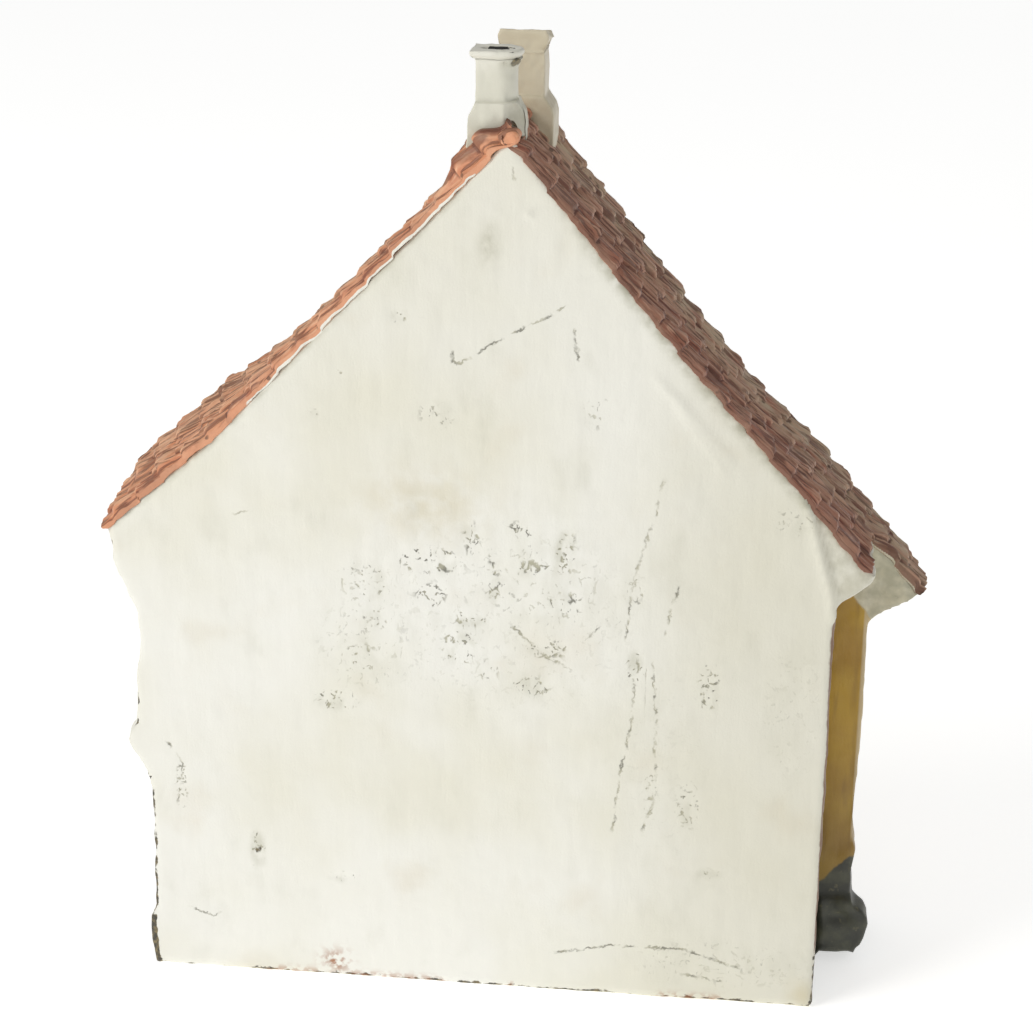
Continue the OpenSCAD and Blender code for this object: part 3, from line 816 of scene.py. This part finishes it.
# Chipped patches, as (x, z, half width, half height, strength)
WORN_PATCHES = [
    (-2.0, 57.0, 25, 19, 0.22),
    (21.0, 36.0, 8, 24, 0.16),
    (-20.0, 52.0, 9, 9, 0.30),
    (4.0, 62.0, 12, 9, 0.34),
    (38.0, 45.0, 6, 14, 0.22),
    (30.0, 6.0, 16, 5, 0.30),
    (-11.1, 64.8, 5.5, 2.2, 0.9),
    (-5.5, 68.3, 1.6, 3.0, 0.6),
    (-2.5, 62.8, 1.8, 5.0, 0.6),
    (3.7, 64.4, 4.6, 1.4, 0.8),
    (7.0, 67.0, 1.8, 3.6, 1.0),
    (1.4, 70.0, 2.6, 1.4, 0.7),
    (-11.1, 59.8, 2.4, 1.9, 1.0),
    (-20.1, 61.3, 4.4, 3.8, 0.55),
    (-6.0, 56.6, 3.2, 1.4, 0.8),
    (-7.3, 52.4, 2.8, 3.0, 0.9),
    (-3.1, 49.2, 1.6, 2.0, 0.7),
    (4.9, 52.8, 3.6, 1.5, 0.9),
    (2.9, 47.2, 4.0, 1.8, 0.6),
    (-24.2, 43.6, 3.4, 1.8, 1.0),
    (-20.4, 50.2, 4.2, 2.6, 0.55),
    (-19.4, 55.8, 3.4, 1.9, 0.6),
    (7.0, 59.6, 3.8, 2.4, 0.55),
    (-23.8, 16.2, 2.6, 0.9, 1.0),
    (-35.9, 19.6, 1.3, 3.4, 1.0),
    (-46.8, 29.3, 1.4, 4.6, 0.7),
    (26.8, 48.2, 1.8, 4.6, 0.8),
    (24.6, 30.6, 2.0, 4.4, 0.6),
    (27.4, 20.3, 2.6, 0.9, 0.6),
    (16.8, 50.8, 1.4, 3.2, 0.9),
    (16.6, 61.8, 1.8, 3.6, 0.45),
    (19.1, 32.8, 1.3, 4.6, 0.5),
    (-26.4, 85.2, 0.8, 0.8, 0.9),
    (-10.2, 85.4, 3.0, 2.4, 0.45),
    (10.9, 86.8, 2.2, 3.4, 0.4),
    (-15.1, 98.6, 1.4, 0.9, 0.8),
    (36.9, 72.8, 3.4, 3.0, 0.4),
]

# Stroke of thick paint that ends in a lip before the right bracket
LIP = [(36.7, 77.4), (38.2, 74.2), (40.1, 68.2), (41.9, 63.2), (42.8, 59.4)]
BRUSH_RIDGES = [
    [(17.1, 93.6), (22.4, 86.4), (29.1, 77.2)],
    [(19.2, 91.4), (24.4, 85.2), (30.2, 78.0)],
]

# Soft spots of dirt, rust and stain, as (x, z, half width, half height)
DIRTY_SPOT = (-3.5, 108.4, 1.3, 2.4)
RUSTY_SPOT = (-25.0, 2.4, 1.9, 1.7)
MIDDLE_STAIN = (-11.5, 72.8, 8.5, 5.0)
CORNER_STAIN = (41.6, 2.0, 2.4, 2.4)
PIMPLE = (1.8, 112.6, 0.45, 0.45)

# Heights where paint is missing along the left rim, as (from, to)
RIM_NICKS = [(63.6, 65.6), (38.0, 42.4), (29.2, 31.8)]


def spot(x, z, middle_x, middle_z, half_x, half_z):
    """1 in the middle of a soft round spot, dying away outward."""
    return bell(x - middle_x, half_x) * bell(z - middle_z, half_z)


def scratch_fields(x, z):
    """Signed distance to the nearest scratch, and how far a point is within reach of it."""
    best = np.full(len(x), 9.0)
    signed = np.full(len(x), 9.0)
    reach = np.zeros(len(x))
    for path in SCRATCHES:
        distance, side, along = path_distance(x, z, path)
        ends = smooth(along, 0.0, 0.03) * fade(along, 0.97, 1)
        closer = distance < best
        best = np.where(closer, distance, best)
        signed = np.where(closer, distance * side, signed)
        reach = np.where(closer, ends * fade(distance, 0.9, 1.5), reach)
    return signed, reach


def worn_field(x, z):
    """How chipped the paint is, from 0 to 1."""
    worn = np.zeros(len(x))
    for cx, cz, half_x, half_z, strength in WORN_PATCHES:
        far = np.hypot((x - cx) / half_x, (z - cz) / half_z)
        worn = np.maximum(worn, strength * fade(far, 0.45, 1.15))
    return worn


def gable_relief(points, x, z):
    """Thick brushed paint on the gable, in millimetres outward, and the dip beyond its lip from 0 to 1."""
    relief = 0.16 * soft_noise(points, (7, 9, 11), 401)
    relief += 0.07 * soft_noise(points, (1.6, 9, 4.5), 402)
    relief += 0.05 * soft_noise(points, (1.0, 9, 1.0), 403)
    for path in BRUSH_RIDGES:
        distance, side, along = path_distance(x, z, path)
        relief += 0.24 * bell(distance, 0.45) * smooth(along, 0, 0.2) * fade(along, 0.8, 1)
    distance, side, along = path_distance(x, z, LIP)
    relief += 0.50 * bell(distance, 0.55) * smooth(along, 0.0, 0.15)
    beyond = smooth(-side * distance, 0.0, 0.8) * smooth(along, 0.01, 0.2) * fade(distance, 5.5, 7.5)
    relief += 0.45 * spot(x, z, *PIMPLE) - 0.32 * beyond
    return relief, beyond


def roof_gap(x, z, roof, side):
    """Distance below a roof line, positive under the tiles."""
    flat = np.stack([x, np.zeros(len(x)), z], axis=1)
    return -slope_frame(flat, roof, side)[1]


def rounder_bracket(points):
    """Moves the underside of the near right bracket out and up, to the outline of the cast one."""
    x, z = points[:, 0], points[:, 2]
    levels = (57.4, 60, 62, 64.5)
    bracket = (x > RIGHT_BACK_X - 0.1) & (z > levels[0]) & (z < levels[-1])
    shift = np.interp(z, levels, (0, 0.8, 1.0, 1.0))
    lift = np.interp(z, levels, (3.4, 2.8, 1.8, 0.9))
    points[bracket, 0] += shift[bracket]
    points[bracket, 2] += lift[bracket]
    return points


# Outline of the gable's left edge against the CAD, as (height, shift)
LEFT_EDGE = [
    (0, -0.1), (3, -0.5), (7.6, -0.6), (9.4, 0.2), (19, 0.6), (27, 0.5),
    (31, 1.3), (33, 1.2), (35.4, 0.1), (36.9, 0), (38, 0.7), (45, 0.1),
    (54.7, 0.8), (57.3, 0.2), (60.9, -0.8), (62.6, -0.8), (64, -0.2), (67, 0),
]


def uneven_left_edge(points):
    """Shifts the gable's left edge to the outline of the cast one; the wall behind stays."""
    x, y, z = points.T
    near_edge = fade(x, LEFT_X + 1, LEFT_X + 6) * fade(y, BACK_Y + 2, BACK_Y + 12)
    points[:, 0] += near_edge * np.interp(z, *zip(*LEFT_EDGE))
    return points


def gable_dirt(x, z, beyond):
    """Painted shade under the roof on both sides and in the dip beyond the lip, and one grimy spot."""
    right = 0.85 * fade(roof_gap(x, z, RIGHT_ROOF, 1), 0.5, 2.4) * smooth(x, 2, 12)
    left = 0.55 * fade(roof_gap(x, z, LEFT_ROOF, -1), 0.4, 1.2) * smooth(-x, 4, 10)
    return np.max([right, left, beyond * 0.5, 0.6 * spot(x, z, *DIRTY_SPOT)], axis=0)


def gable_bare(points, left_rim):
    """Bare iron along the foot, the corners and the left rim, and in two chips."""
    x, z = points[:, 0], points[:, 2]
    from_left = x - LEFT_X
    foot = 0.55 + 0.12 * smooth(x, -46, -30)
    foot *= fade(z, 0.3, 1.4) * (0.8 + 0.3 * soft_noise(points, 3, 421))
    rim = 0.80 * fade(from_left, 0.1, 1.0) * fade(z, 25, 31)
    rim *= 0.85 + 0.3 * soft_noise(points, 4, 423)
    left_corner = 0.80 * fade(from_left, 0.75, 1.15) * fade(z, 7.5, 9)
    right_corner = 0.62 * fade(RIGHT_BACK_X - x, 0.1, 0.8) * fade(z, 7.5, 9.5)
    high_chip = np.hypot((x + 20.4 - (z - 102.2) * 0.9) / 1.1, (z - 102.2) / 1.7)
    low_chip = np.hypot(x + 35.9, z - 19.6) / 1.2
    chips = np.maximum(0.75 * fade(high_chip, 0.6, 1.2), 0.5 * fade(low_chip, 0.3, 1.0))
    bare = np.max([foot, rim, left_corner, right_corner, chips], axis=0)
    for low, high in RIM_NICKS:
        nick = np.exp(-((z - (low + high) / 2) / (high - low)) ** 4)
        bare = np.maximum(bare, 0.6 * nick * left_rim)
    return bare


def add_marks(mesh, **marks):
    """Stores the fields that the white paint reads; those that aren't named show no marks."""
    none = dict.fromkeys(("worn", "dirt", "bare", "rust", "stain", "scratched", "flue_shade"), 0)
    add_fields(mesh, **(none | {"scratch": 9.0} | marks))


def back_piece():
    """Plain gable with its side walls, thickly painted."""
    mesh = evenly_meshed(node_mesh("back_casting", rounder_bracket), CASE_VOXEL)
    points = points_of(mesh)
    normals = normals_of(mesh)
    x, z = points[:, 0], points[:, 2]
    face = fade(points[:, 1], BACK_Y + 0.6, BACK_Y + 1.2) * smooth(-normals[:, 1], 0.2, 0.8)
    left_wall = fade(x, LEFT_X + 0.1, LEFT_X + 0.6)
    right_wall = smooth(x, RIGHT_BACK_X - 0.6, RIGHT_BACK_X - 0.1)
    outside = np.max([face, left_wall, right_wall], axis=0)
    relief, beyond = gable_relief(points, x, z)
    worn = worn_field(x, z) * face
    lumps = 0.20 * soft_noise(points, 2.6, 411) + 0.10 * soft_noise(points, 1.2, 412)
    push = face * (relief - 0.10 * worn) + (1 - face) * outside * lumps
    points += normals * push[:, None]
    points[:, 2] = np.maximum(z, 0)
    put_points(mesh, uneven_left_edge(belly(points.copy())))
    signed, reach = scratch_fields(x, z)
    left_rim = smooth(-normals[:, 0], 0.25, 0.7) * (x < -40) * face
    foot_rust = 0.6 * bell(z - 0.4, 0.7) * (soft_noise(points, 5, 422) > 0.1)
    stain = np.maximum(0.8 * spot(x, z, *MIDDLE_STAIN), 0.9 * spot(x, z, *CORNER_STAIN))
    add_marks(
        mesh,
        scratch=signed,
        scratched=reach * face,
        worn=worn,
        dirt=gable_dirt(x, z, beyond) * np.maximum(face, 0.3),
        bare=gable_bare(points, left_rim) * outside,
        rust=np.maximum(spot(x, z, *RUSTY_SPOT), foot_rust) * outside,
        stain=stain * face,
    )
    return add_piece("plain_gable", mesh, back_material(), ["back_casting"])


# ---------------------------------------------------------------- the dressed half

# How far the plinth's right end stands out, as (height, share of the CAD's)
PLINTH_PROFILE = [(0, 0.45), (3.5, 0.72), (6.3, 1.0), (7.4, 0.95), (8.6, 0.7), (9.4, 0.3), (10.2, 0.08)]


def rounder_eave(points):
    """Draws the longer eave's block in and lifts its underside."""
    x, z = points[:, 0], points[:, 2]
    beyond_wall = x - RIGHT_FRONT_X
    eave = (x > 48.1) & (z > 50)
    underside = (beyond_wall > -0.1) & (z > 51.5) & (z < 55.6)
    lift = np.where(underside, np.interp(x, (48, 49, 53), (1.7, 0.8, 0.6)), 0)
    points[:, 0] -= np.where(eave, 0.2 * beyond_wall, 0)
    points[:, 2] += lift
    return points


def front_piece():
    """Dressed half with its plinth, eave block and mouldings."""
    mesh = evenly_meshed(node_mesh("front_casting", rounder_eave), CASE_VOXEL, smoothing=1)
    points = points_of(mesh)
    normals = normals_of(mesh)
    x, y, z = points.T
    chamber = (np.abs(x + 4.2) < 44.4) & (y > -3) & (y < 9.1)
    lumps = 0.14 * soft_noise(points, 3.4, 431) + 0.07 * soft_noise(points, 1.3, 432)
    plinth = smooth(x, 42.8, 43.4) * fade(z, 10.0, 11.0)
    lumps += plinth * 0.28 * soft_noise(points, 3.0, 433)
    bulge = 0.30 * bell(z - 17.6, 1.5) * (y < 6) - 0.45 * bell(z - 24, 4)
    bulge *= smooth(x, 45.5, 47.5)
    bulge -= 0.9 * plinth * spot(x, z, 47, 7.5, 2.0, 1.1) * (y < 2)
    points += normals * np.where(chamber, 0, lumps + bulge)[:, None]
    points[:, 2] = np.maximum(z, 0)
    heel = fade(z, 0, 4) * fade(y, 0, 6) * smooth(x, 43, 44)
    foot = (z < 12) & (x > RIGHT_FRONT_X)
    reach = np.interp(z, *zip(*PLINTH_PROFILE)) * (1 - 0.8 * smooth(y, 3, 6))
    under_roof = fade(roof_gap(x, z, RIGHT_ROOF, 1), 0.4, 2.6) * smooth(y, 3, 8) * smooth(x, 1, 6)
    points[:, 0] -= np.where(foot, (1 - reach) * (x - RIGHT_FRONT_X), 0)
    points[:, 2] += 1.6 * heel - 1.7 * under_roof * fade(x, 46, 50)
    put_points(mesh, belly(points.copy()))
    # Painted shade darkens the eave block and the wall under the right roof; the eave block also gets a
    # few chips.
    eave = smooth(x, 44, 46) * smooth(z, 50, 53) * (y < 3)
    worn = 0.4 * eave * smooth(soft_noise(points, 2.5, 434), 0.2, 0.7)
    dirt = eave * 0.9 + 0.4 * fade(roof_gap(x, z, RIGHT_ROOF, 1), 0.3, 1.2) * (x > 0)
    add_marks(mesh, worn=worn, dirt=dirt, bare=0.6 * fade(z, 0.2, 1.2), stain=eave)
    return add_piece("dressed_half", mesh, front_material(), ["front_casting"])


# ---------------------------------------------------------------- chimneys

# Height of the CAD's caps, and the levels where its feet begin and flare out
CAP_H = 2.0
FOOT_Z = 119.0
FLARE_Z = 123.6
# Half width and half depth of the flue's opening, and how far down it is filled in the far chimney
FLUE = (2.5, 1.7)
FILLED = 8.0
# Where the near foot's right corner is cut off, and how far the near cap is raised
CORNER_X = -1.8
NEAR_RAISED = 0.9

# How much slimmer than the CAD's the cast chimneys are, as (height, share of the half width)
SLIM_NEAR = [(118, 0.02), (123, 0.05), (125.5, 0.12), (131.3, 0.12), (132.2, 0.06)]
SLIM_FAR = [(122, 0.0), (124.5, 0.16), (130.5, 0.14), (131.5, 0.0)]


def outward(mesh):
    """Turns all faces outward; the voxel mesh of a chimney has a few the wrong way round."""
    shell = bmesh.new()
    shell.from_mesh(mesh)
    bmesh.ops.recalc_face_normals(shell, faces=shell.faces)
    shell.to_mesh(mesh)
    shell.free()
    return mesh


def chimney_mesh(node, middle, top, cap_h, far):
    """Fine mesh of a chimney whose foot reaches into the tiles; the far one's flue is filled."""

    def reshape(points):
        x, y, z = points.T
        foot = (z > FOOT_Z) & (z < FLARE_Z)
        z[foot] -= np.where(x[foot] > APEX[0] + 0.5, 3.0, 1.0)
        if far:
            z[(z > FLARE_Z) & (z < top - 5)] -= 1.3
            in_flue = (np.abs(x - middle[0]) < FLUE[0]) & (np.abs(y - middle[1]) < FLUE[1])
            z[in_flue & (z > top - FILLED) & (z < top - 0.1)] = top + 0.02
        z[np.abs(z - (top - CAP_H)) < 0.05] = top - cap_h
        return points

    return outward(evenly_meshed(node_mesh(node, reshape), SMALL_VOXEL))


def near_shape(points, normals, middle, top, cap_h):
    """Widens the neck to the right below the near cap, cuts the foot's corner off and raises the cap."""
    x, y, z = points.T
    below_cap = np.clip((z - top + 2.3) / (2.3 - cap_h), 0, 1) * (z < top - cap_h)
    x += 0.6 * below_cap * smooth(normals[:, 0], 0.3, 0.8)
    corner = np.clip((x - CORNER_X) / 2.3, 0, 1.2) * fade(y, middle[1] - 1, middle[1])
    corner *= fade(z, 124.6, 127)
    y += 3.2 * corner
    z += NEAR_RAISED * smooth(z, 124.5, 129)
    return corner


def far_shape(points, middle, top, low_y, half_width, flue):
    """Narrows the far cap, rounds its top and lets it fall away backward."""
    x, y, z = points.T
    narrowing = np.clip((x - middle[0]) / 1.5, -1, 1) * smooth(z, top - 4, top - 2)
    x -= 0.45 * narrowing * ~flue
    x -= 0.5 * smooth(z, top - 1.4, top) ** 2 * (x - middle[0]) / half_width
    z -= 0.18 * (y - low_y) * smooth(z, top - 2, top - 0.5)
    z += 0.35 * smooth(z, 125, 129)


def near_marks(points, normals, middle, top, corner):
    """Painted shade in the near flue, a painted shadow with chips and bare iron on the neck's right under
    the cap, painted shade on the cut-off corner, a rubbed rim and a foot darker toward the tiles.
    """
    x, y, z = points.T
    mouth = np.hypot((x - middle[0]) / 1.9, (y - middle[1]) / 1.3) < 1
    right = smooth(x - middle[0], -0.5, 2.0)
    # Band under the cap on the right: painted shadow, also chipped and rubbed to iron.
    neck = bell(z - (top - 1.5), 0.7) * right
    rim = bell(z - (top - 0.12), 0.16) * smooth(-normals[:, 1], 0.2, 0.6) * (0.5 + 0.5 * right)
    # Painted shade on the cut-off corner of the foot.
    facet_shade = 0.8 * smooth(corner, 0.05, 0.3)
    return {
        "flue_shade": mouth & (z > top - NEAR_RAISED - 5) & (z < top - 0.02),
        "dirt": np.max([neck, facet_shade, 0.6 * fade(z, 121, 125)], axis=0),
        "worn": 0.3 * neck,
        "bare": 0.58 * np.maximum(rim, neck * 0.95),
    }


def chimney_piece(node, cap_h, far, seed):
    """Chimney with a worn cap; the near one has an open flue, the far one is closed and painted darker as
    shade.
    """
    low, high = (np.array(corner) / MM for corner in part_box(node))
    middle = (low + high) / 2
    top = high[2]
    mesh = chimney_mesh(node, middle, top, cap_h, far)
    points = points_of(mesh)
    normals = normals_of(mesh)
    x, y, z = points.T
    flue = (np.abs(x - middle[0]) < FLUE[0]) & (np.abs(y - middle[1]) < 1.4) & (z > top - 5)
    slant = np.where((normals[:, 0] > 0.5) | far, cap_h - 0.6, 0.3)
    under_cap = np.clip((top - 0.6 - z) / slant, 0, 1) * (z > top - cap_h - 0.05) * ~flue
    points[:, :2] -= normals[:, :2] * (0.55 * under_cap)[:, None]
    if far:
        far_shape(points, middle, top, low[1], high[0] - middle[0], flue)
    else:
        corner = near_shape(points, normals, middle, top, cap_h)
    lumps = 0.13 * soft_noise(points, 2.0, seed) + 0.08 * soft_noise(points, 0.9, seed + 1)
    points += normals * lumps[:, None]
    slim = np.interp(z, *zip(*(SLIM_FAR if far else SLIM_NEAR)))
    points[:, 0] -= np.where(flue, 0, slim * (x - middle[0]))
    put_points(mesh, points)
    if far:
        # Painted shade: the far chimney darkens toward its foot among the tiles.
        add_marks(mesh, dirt=0.95 * fade(z, 123, 126))
    else:
        add_marks(mesh, **near_marks(points, normals, middle, top + NEAR_RAISED, corner))
    material = chimney_material(node + "_white", far)
    return add_piece(node + "_painted", mesh, material, [node])


# ---------------------------------------------------------------- trim of the dressed front


def add_block(shell, low, high, bevel=0.18, slope=0.0):
    """Adds a block with rounded edges between two corners; slope draws its front face in all round."""
    corners = bmesh.ops.create_cube(shell, size=1.0)["verts"]
    for vert in corners:
        place = Vector([low[i] if vert.co[i] < 0 else high[i] for i in range(3)])
        if vert.co.y > 0:
            place.x -= math.copysign(slope, vert.co.x)
            place.z -= math.copysign(slope, vert.co.z)
        vert.co = place * MM
    edges = list({edge for vert in corners for edge in vert.link_edges})
    bmesh.ops.bevel(shell, geom=edges, offset=bevel * MM, segments=2, affect="EDGES", profile=0.6)


def trim_piece(name, blocks, material, wobble, seed):
    """Piece made of several soft-edged blocks, with a hand-painted unevenness."""
    shell = bmesh.new()
    for block in blocks:
        add_block(shell, *block)
    long_edges = [edge for edge in shell.edges if edge.calc_length() > 1.2 * MM]
    bmesh.ops.subdivide_edges(shell, edges=long_edges, cuts=2, use_grid_fill=True)
    mesh = mesh_from(shell, name)
    points = points_of(mesh)
    for axis in range(3):
        points[:, axis] += wobble * soft_noise(points, 1.8, seed + axis)
    put_points(mesh, points)
    return add_piece(name, mesh, material)


# Centres of the windows as (x, z), their width and heights, and the width of their casings
WINDOWS = [(-28, 20), (22, 20), (-34, 52), (-11, 52), (12, 52), (33, 52), (-0.9, 86)]
WINDOW_W = 9.0
WINDOW_H = 13.0
ATTIC_H = 12.0
FRAME_W = 1.3
DOOR_X = -2.0
DOOR_W = 12.0
DOOR_H = 25.0


def window_sizes():
    """Centre and half sizes of each window of the dressed front."""
    for x, z in WINDOWS:
        tall = ATTIC_H if z > 80 else WINDOW_H
        yield x, z, WINDOW_W / 2, tall / 2


def window_frames():
    """Casings with sills and lintels, a mullion and two glazing bars."""
    back, bar, casing = FACADE_Y - 0.4, FACADE_Y + 0.95, FACADE_Y + 1.45
    for x, z, w, h in window_sizes():
        outer = w + FRAME_W
        yield (x - outer, back, z - h), (x - w, casing, z + h)
        yield (x + w, back, z - h), (x + outer, casing, z + h)
        yield (x - outer, back, z + h - 0.1), (x + outer, casing, z + h + FRAME_W)
        yield (x - outer - 0.6, back, z - h - FRAME_W), (x + outer + 0.6, casing + 0.3, z - h + 0.1)
        yield (x - 0.45, back, z - h), (x + 0.45, bar, z + h)
        for level in (-0.33, 0.33):
            yield (x - w, back, z + level * h - 0.35), (x + w, bar - 0.1, z + level * h + 0.35)


def window_panes():
    """One dark pane behind the bars of each window."""
    for x, z, w, h in window_sizes():
        yield (x - w - 0.2, FACADE_Y - 0.5, z - h - 0.2), (x + w + 0.2, FACADE_Y + 0.25, z + h + 0.2)


def shutter_blocks():
    """Ledged shutters with slats beside the ground-floor windows."""
    for x, z in WINDOWS[:2]:
        for side in (-1, 1):
            cx = x + side * (WINDOW_W / 2 + 3.4)
            low, high = z - 7.6, z + 7.6
            yield (cx - 1.8, FACADE_Y - 0.4, low), (cx + 1.8, FACADE_Y + 0.75, high)
            yield (cx - 1.8, FACADE_Y, low), (cx - 1.2, FACADE_Y + 1.2, high)
            yield (cx + 1.2, FACADE_Y, low), (cx + 1.8, FACADE_Y + 1.2, high)
            for level in range(10):
                foot = low + 0.4 + level * 1.45
                yield (cx - 1.3, FACADE_Y, foot), (cx + 1.3, FACADE_Y + 1.05, foot + 0.95), 0.12, 0.15


def door_blocks():
    """Door leaf with the frames of six sunk panels."""
    left, right = DOOR_X - DOOR_W / 2, DOOR_X + DOOR_W / 2
    top = DOOR_H - 4.6
    yield (left + 0.6, FACADE_Y + 0.9, 2.4), (right - 0.6, FACADE_Y + 1.35, top)
    for x in (left + 0.6, DOOR_X - 0.75, right - 2.1):
        yield (x, FACADE_Y + 1.0, 2.4), (x + 1.5, FACADE_Y + 1.75, top)
    for z in (2.4, 8.6, 14.4, DOOR_H - 6.0):
        yield (left + 0.8, FACADE_Y + 1.0, z), (right - 0.8, FACADE_Y + 1.72, z + 1.4)


def door_surround():
    """Casing, step, transom light and hood of the door."""
    left, right = DOOR_X - DOOR_W / 2 - 1.5, DOOR_X + DOOR_W / 2 + 1.5
    yield (left, FACADE_Y, 0.6), (left + 2.0, FACADE_Y + 1.95, DOOR_H)
    yield (right - 2.0, FACADE_Y, 0.6), (right, FACADE_Y + 1.95, DOOR_H)
    yield (left, FACADE_Y, DOOR_H - 4.8), (right, FACADE_Y + 1.9, DOOR_H - 3.8)
    yield (left - 0.7, FACADE_Y, DOOR_H - 0.2), (right + 0.7, FACADE_Y + 2.15, DOOR_H + 1.6), 0.3, 0.0
    yield (left - 0.5, FACADE_Y, 0.1), (right + 0.5, FACADE_Y + 2.2, 2.2), 0.3, 0.0
    for x in (DOOR_X - 2.2, DOOR_X + 1.8):
        yield (x, FACADE_Y + 1.2, DOOR_H - 4.0), (x + 0.6, FACADE_Y + 1.75, DOOR_H)


def transom_pane():
    """Glass above the door."""
    yield (DOOR_X - 5.0, FACADE_Y + 1.1, DOOR_H - 4.2), (DOOR_X + 5.0, FACADE_Y + 1.4, DOOR_H)


def mouldings():
    """String courses across the front, each of a fillet under a broader band."""
    for z, left, right in ((34.4, LEFT_X + 0.4, RIGHT_FRONT_X - 0.4), (68.9, LEFT_X + 4.2, 39.3)):
        yield (left, FACADE_Y, z), (right, FACADE_Y + 1.1, z + 0.9)
        yield (left, FACADE_Y, z + 0.8), (right, FACADE_Y + 1.75, z + 2.3), 0.3, 0.0


def dressed_trim():
    """All trim of the dressed front."""
    cream = trim_material("trim_cream", (226, 218, 192), (180, 166, 132), 141)
    green = trim_material("shutter_green", (64, 84, 62), (100, 112, 80), 151)
    brown = trim_material("door_brown", (122, 62, 42), (160, 98, 66), 161)
    pane = pane_material()
    trim_piece("window_casings", window_frames(), cream, 0.06, 501)
    trim_piece("window_panes", window_panes(), pane, 0.03, 511)
    trim_piece("shutters", shutter_blocks(), green, 0.05, 521)
    trim_piece("door_leaf", door_blocks(), brown, 0.04, 531)
    trim_piece("door_casing", door_surround(), cream, 0.06, 541)
    trim_piece("transom_pane", transom_pane(), pane, 0.02, 551)
    trim_piece("string_courses", mouldings(), cream, 0.07, 561)


# ---------------------------------------------------------------- metal parts

STEEL_PARTS = (
    "chimney_pins",
    "case_screws",
    "trap_slide",
    "trap_spring",
    "trap_spring_rivets",
    "slot_baffle",
    "baffle_rivets",
)


def metal_parts():
    """Iron and steel finishes for the CAD parts that keep their own shape."""
    finishes = {"base_plate": iron_material()} | dict.fromkeys(STEEL_PARTS, steel_material())
    for node, material in finishes.items():
        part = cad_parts[node]
        part.data.materials.clear()
        part.data.materials.append(material)


# ---------------------------------------------------------------- studio


def floor_piece():
    """Wide pale floor with a barely uneven paint."""
    paint = Paint("pale_floor", roughness=0.9, specular=0.1)
    paint.colour = paint.mix((250, 250, 249), (247, 247, 246), paint.noise(180, seed=201))
    paint.shader.inputs["Emission Color"].default_value = (1.0, 1.0, 0.995, 1.0)
    paint.shader.inputs["Emission Strength"].default_value = 0.56
    shell = bmesh.new()
    bmesh.ops.create_grid(shell, x_segments=8, y_segments=8, size=4.0)
    mesh = mesh_from(shell, "floor")
    mesh.materials.append(paint.finish())
    shown("floor", mesh)


def area_light(name, place, aim, width, power, tint=(1.0, 1.0, 1.0)):
    """Round soft light at a place in metres, turned to its aim."""
    data = bpy.data.lights.new(name, "AREA")
    data.shape = "DISK"
    data.size = width
    data.energy = power
    data.color = tint
    light = shown(name, data)
    light.location = place
    light.rotation_mode = "QUATERNION"
    light.rotation_quaternion = (Vector(aim) - Vector(place)).to_track_quat("-Z", "Y")


def studio():
    """Soft box at the upper left, weaker fill from the front, and an even white surround."""
    world = bpy.data.worlds.new("surround")
    world.use_nodes = True
    surround = world.node_tree.nodes["Background"]
    surround.inputs["Color"].default_value = (1.0, 1.0, 1.0, 1.0)
    surround.inputs["Strength"].default_value = 0.415
    bpy.context.scene.world = world
    bpy.context.scene.view_settings.view_transform = "Standard"
    area_light("key", (-0.40, -0.30, 0.44), (-0.02, 0, 0.05), 0.30, 1.42, (1.0, 0.985, 0.96))
    area_light("fill", (0.0, -0.85, 0.30), (0, 0, 0.06), 0.5, 0.42)


def camera():
    """Camera at the photograph's viewing angle, aimed at the gable."""
    azimuth = math.radians(6.5)
    elevation = math.radians(20.2)
    roll = math.radians(0.55)
    distance = 0.3199
    target = Vector((0.45, BACK_Y, 71.75)) * MM
    back = Vector((
        math.sin(azimuth) * math.cos(elevation),
        -math.cos(azimuth) * math.cos(elevation),
        math.sin(elevation),
    ))
    data = bpy.data.cameras.new("photo_angle")
    data.sensor_width = 36
    data.lens = 84.1
    data.clip_start = 0.01
    data.clip_end = 20
    eye = shown("photo_angle", data)
    eye.location = target + back * distance
    eye.rotation_mode = "QUATERNION"
    eye.rotation_quaternion = (-back).to_track_quat("-Z", "Y") @ Quaternion((0, 0, 1), roll)
    bpy.context.scene.camera = eye


roof_piece("roof_left", LEFT_ROOF, -1, LEFT_LIFT, 211, RED_LIT)
roof_piece("roof_right", RIGHT_ROOF, 1, RIGHT_LIFT, 223, RED_SHADED_DUSTY)
ridge_tiles()
back_piece()
front_piece()
chimney_piece("back_chimney", cap_h=0.95, far=False, seed=441)
chimney_piece("front_chimney", cap_h=2.9, far=True, seed=451)
dressed_trim()
metal_parts()
floor_piece()
studio()
camera()
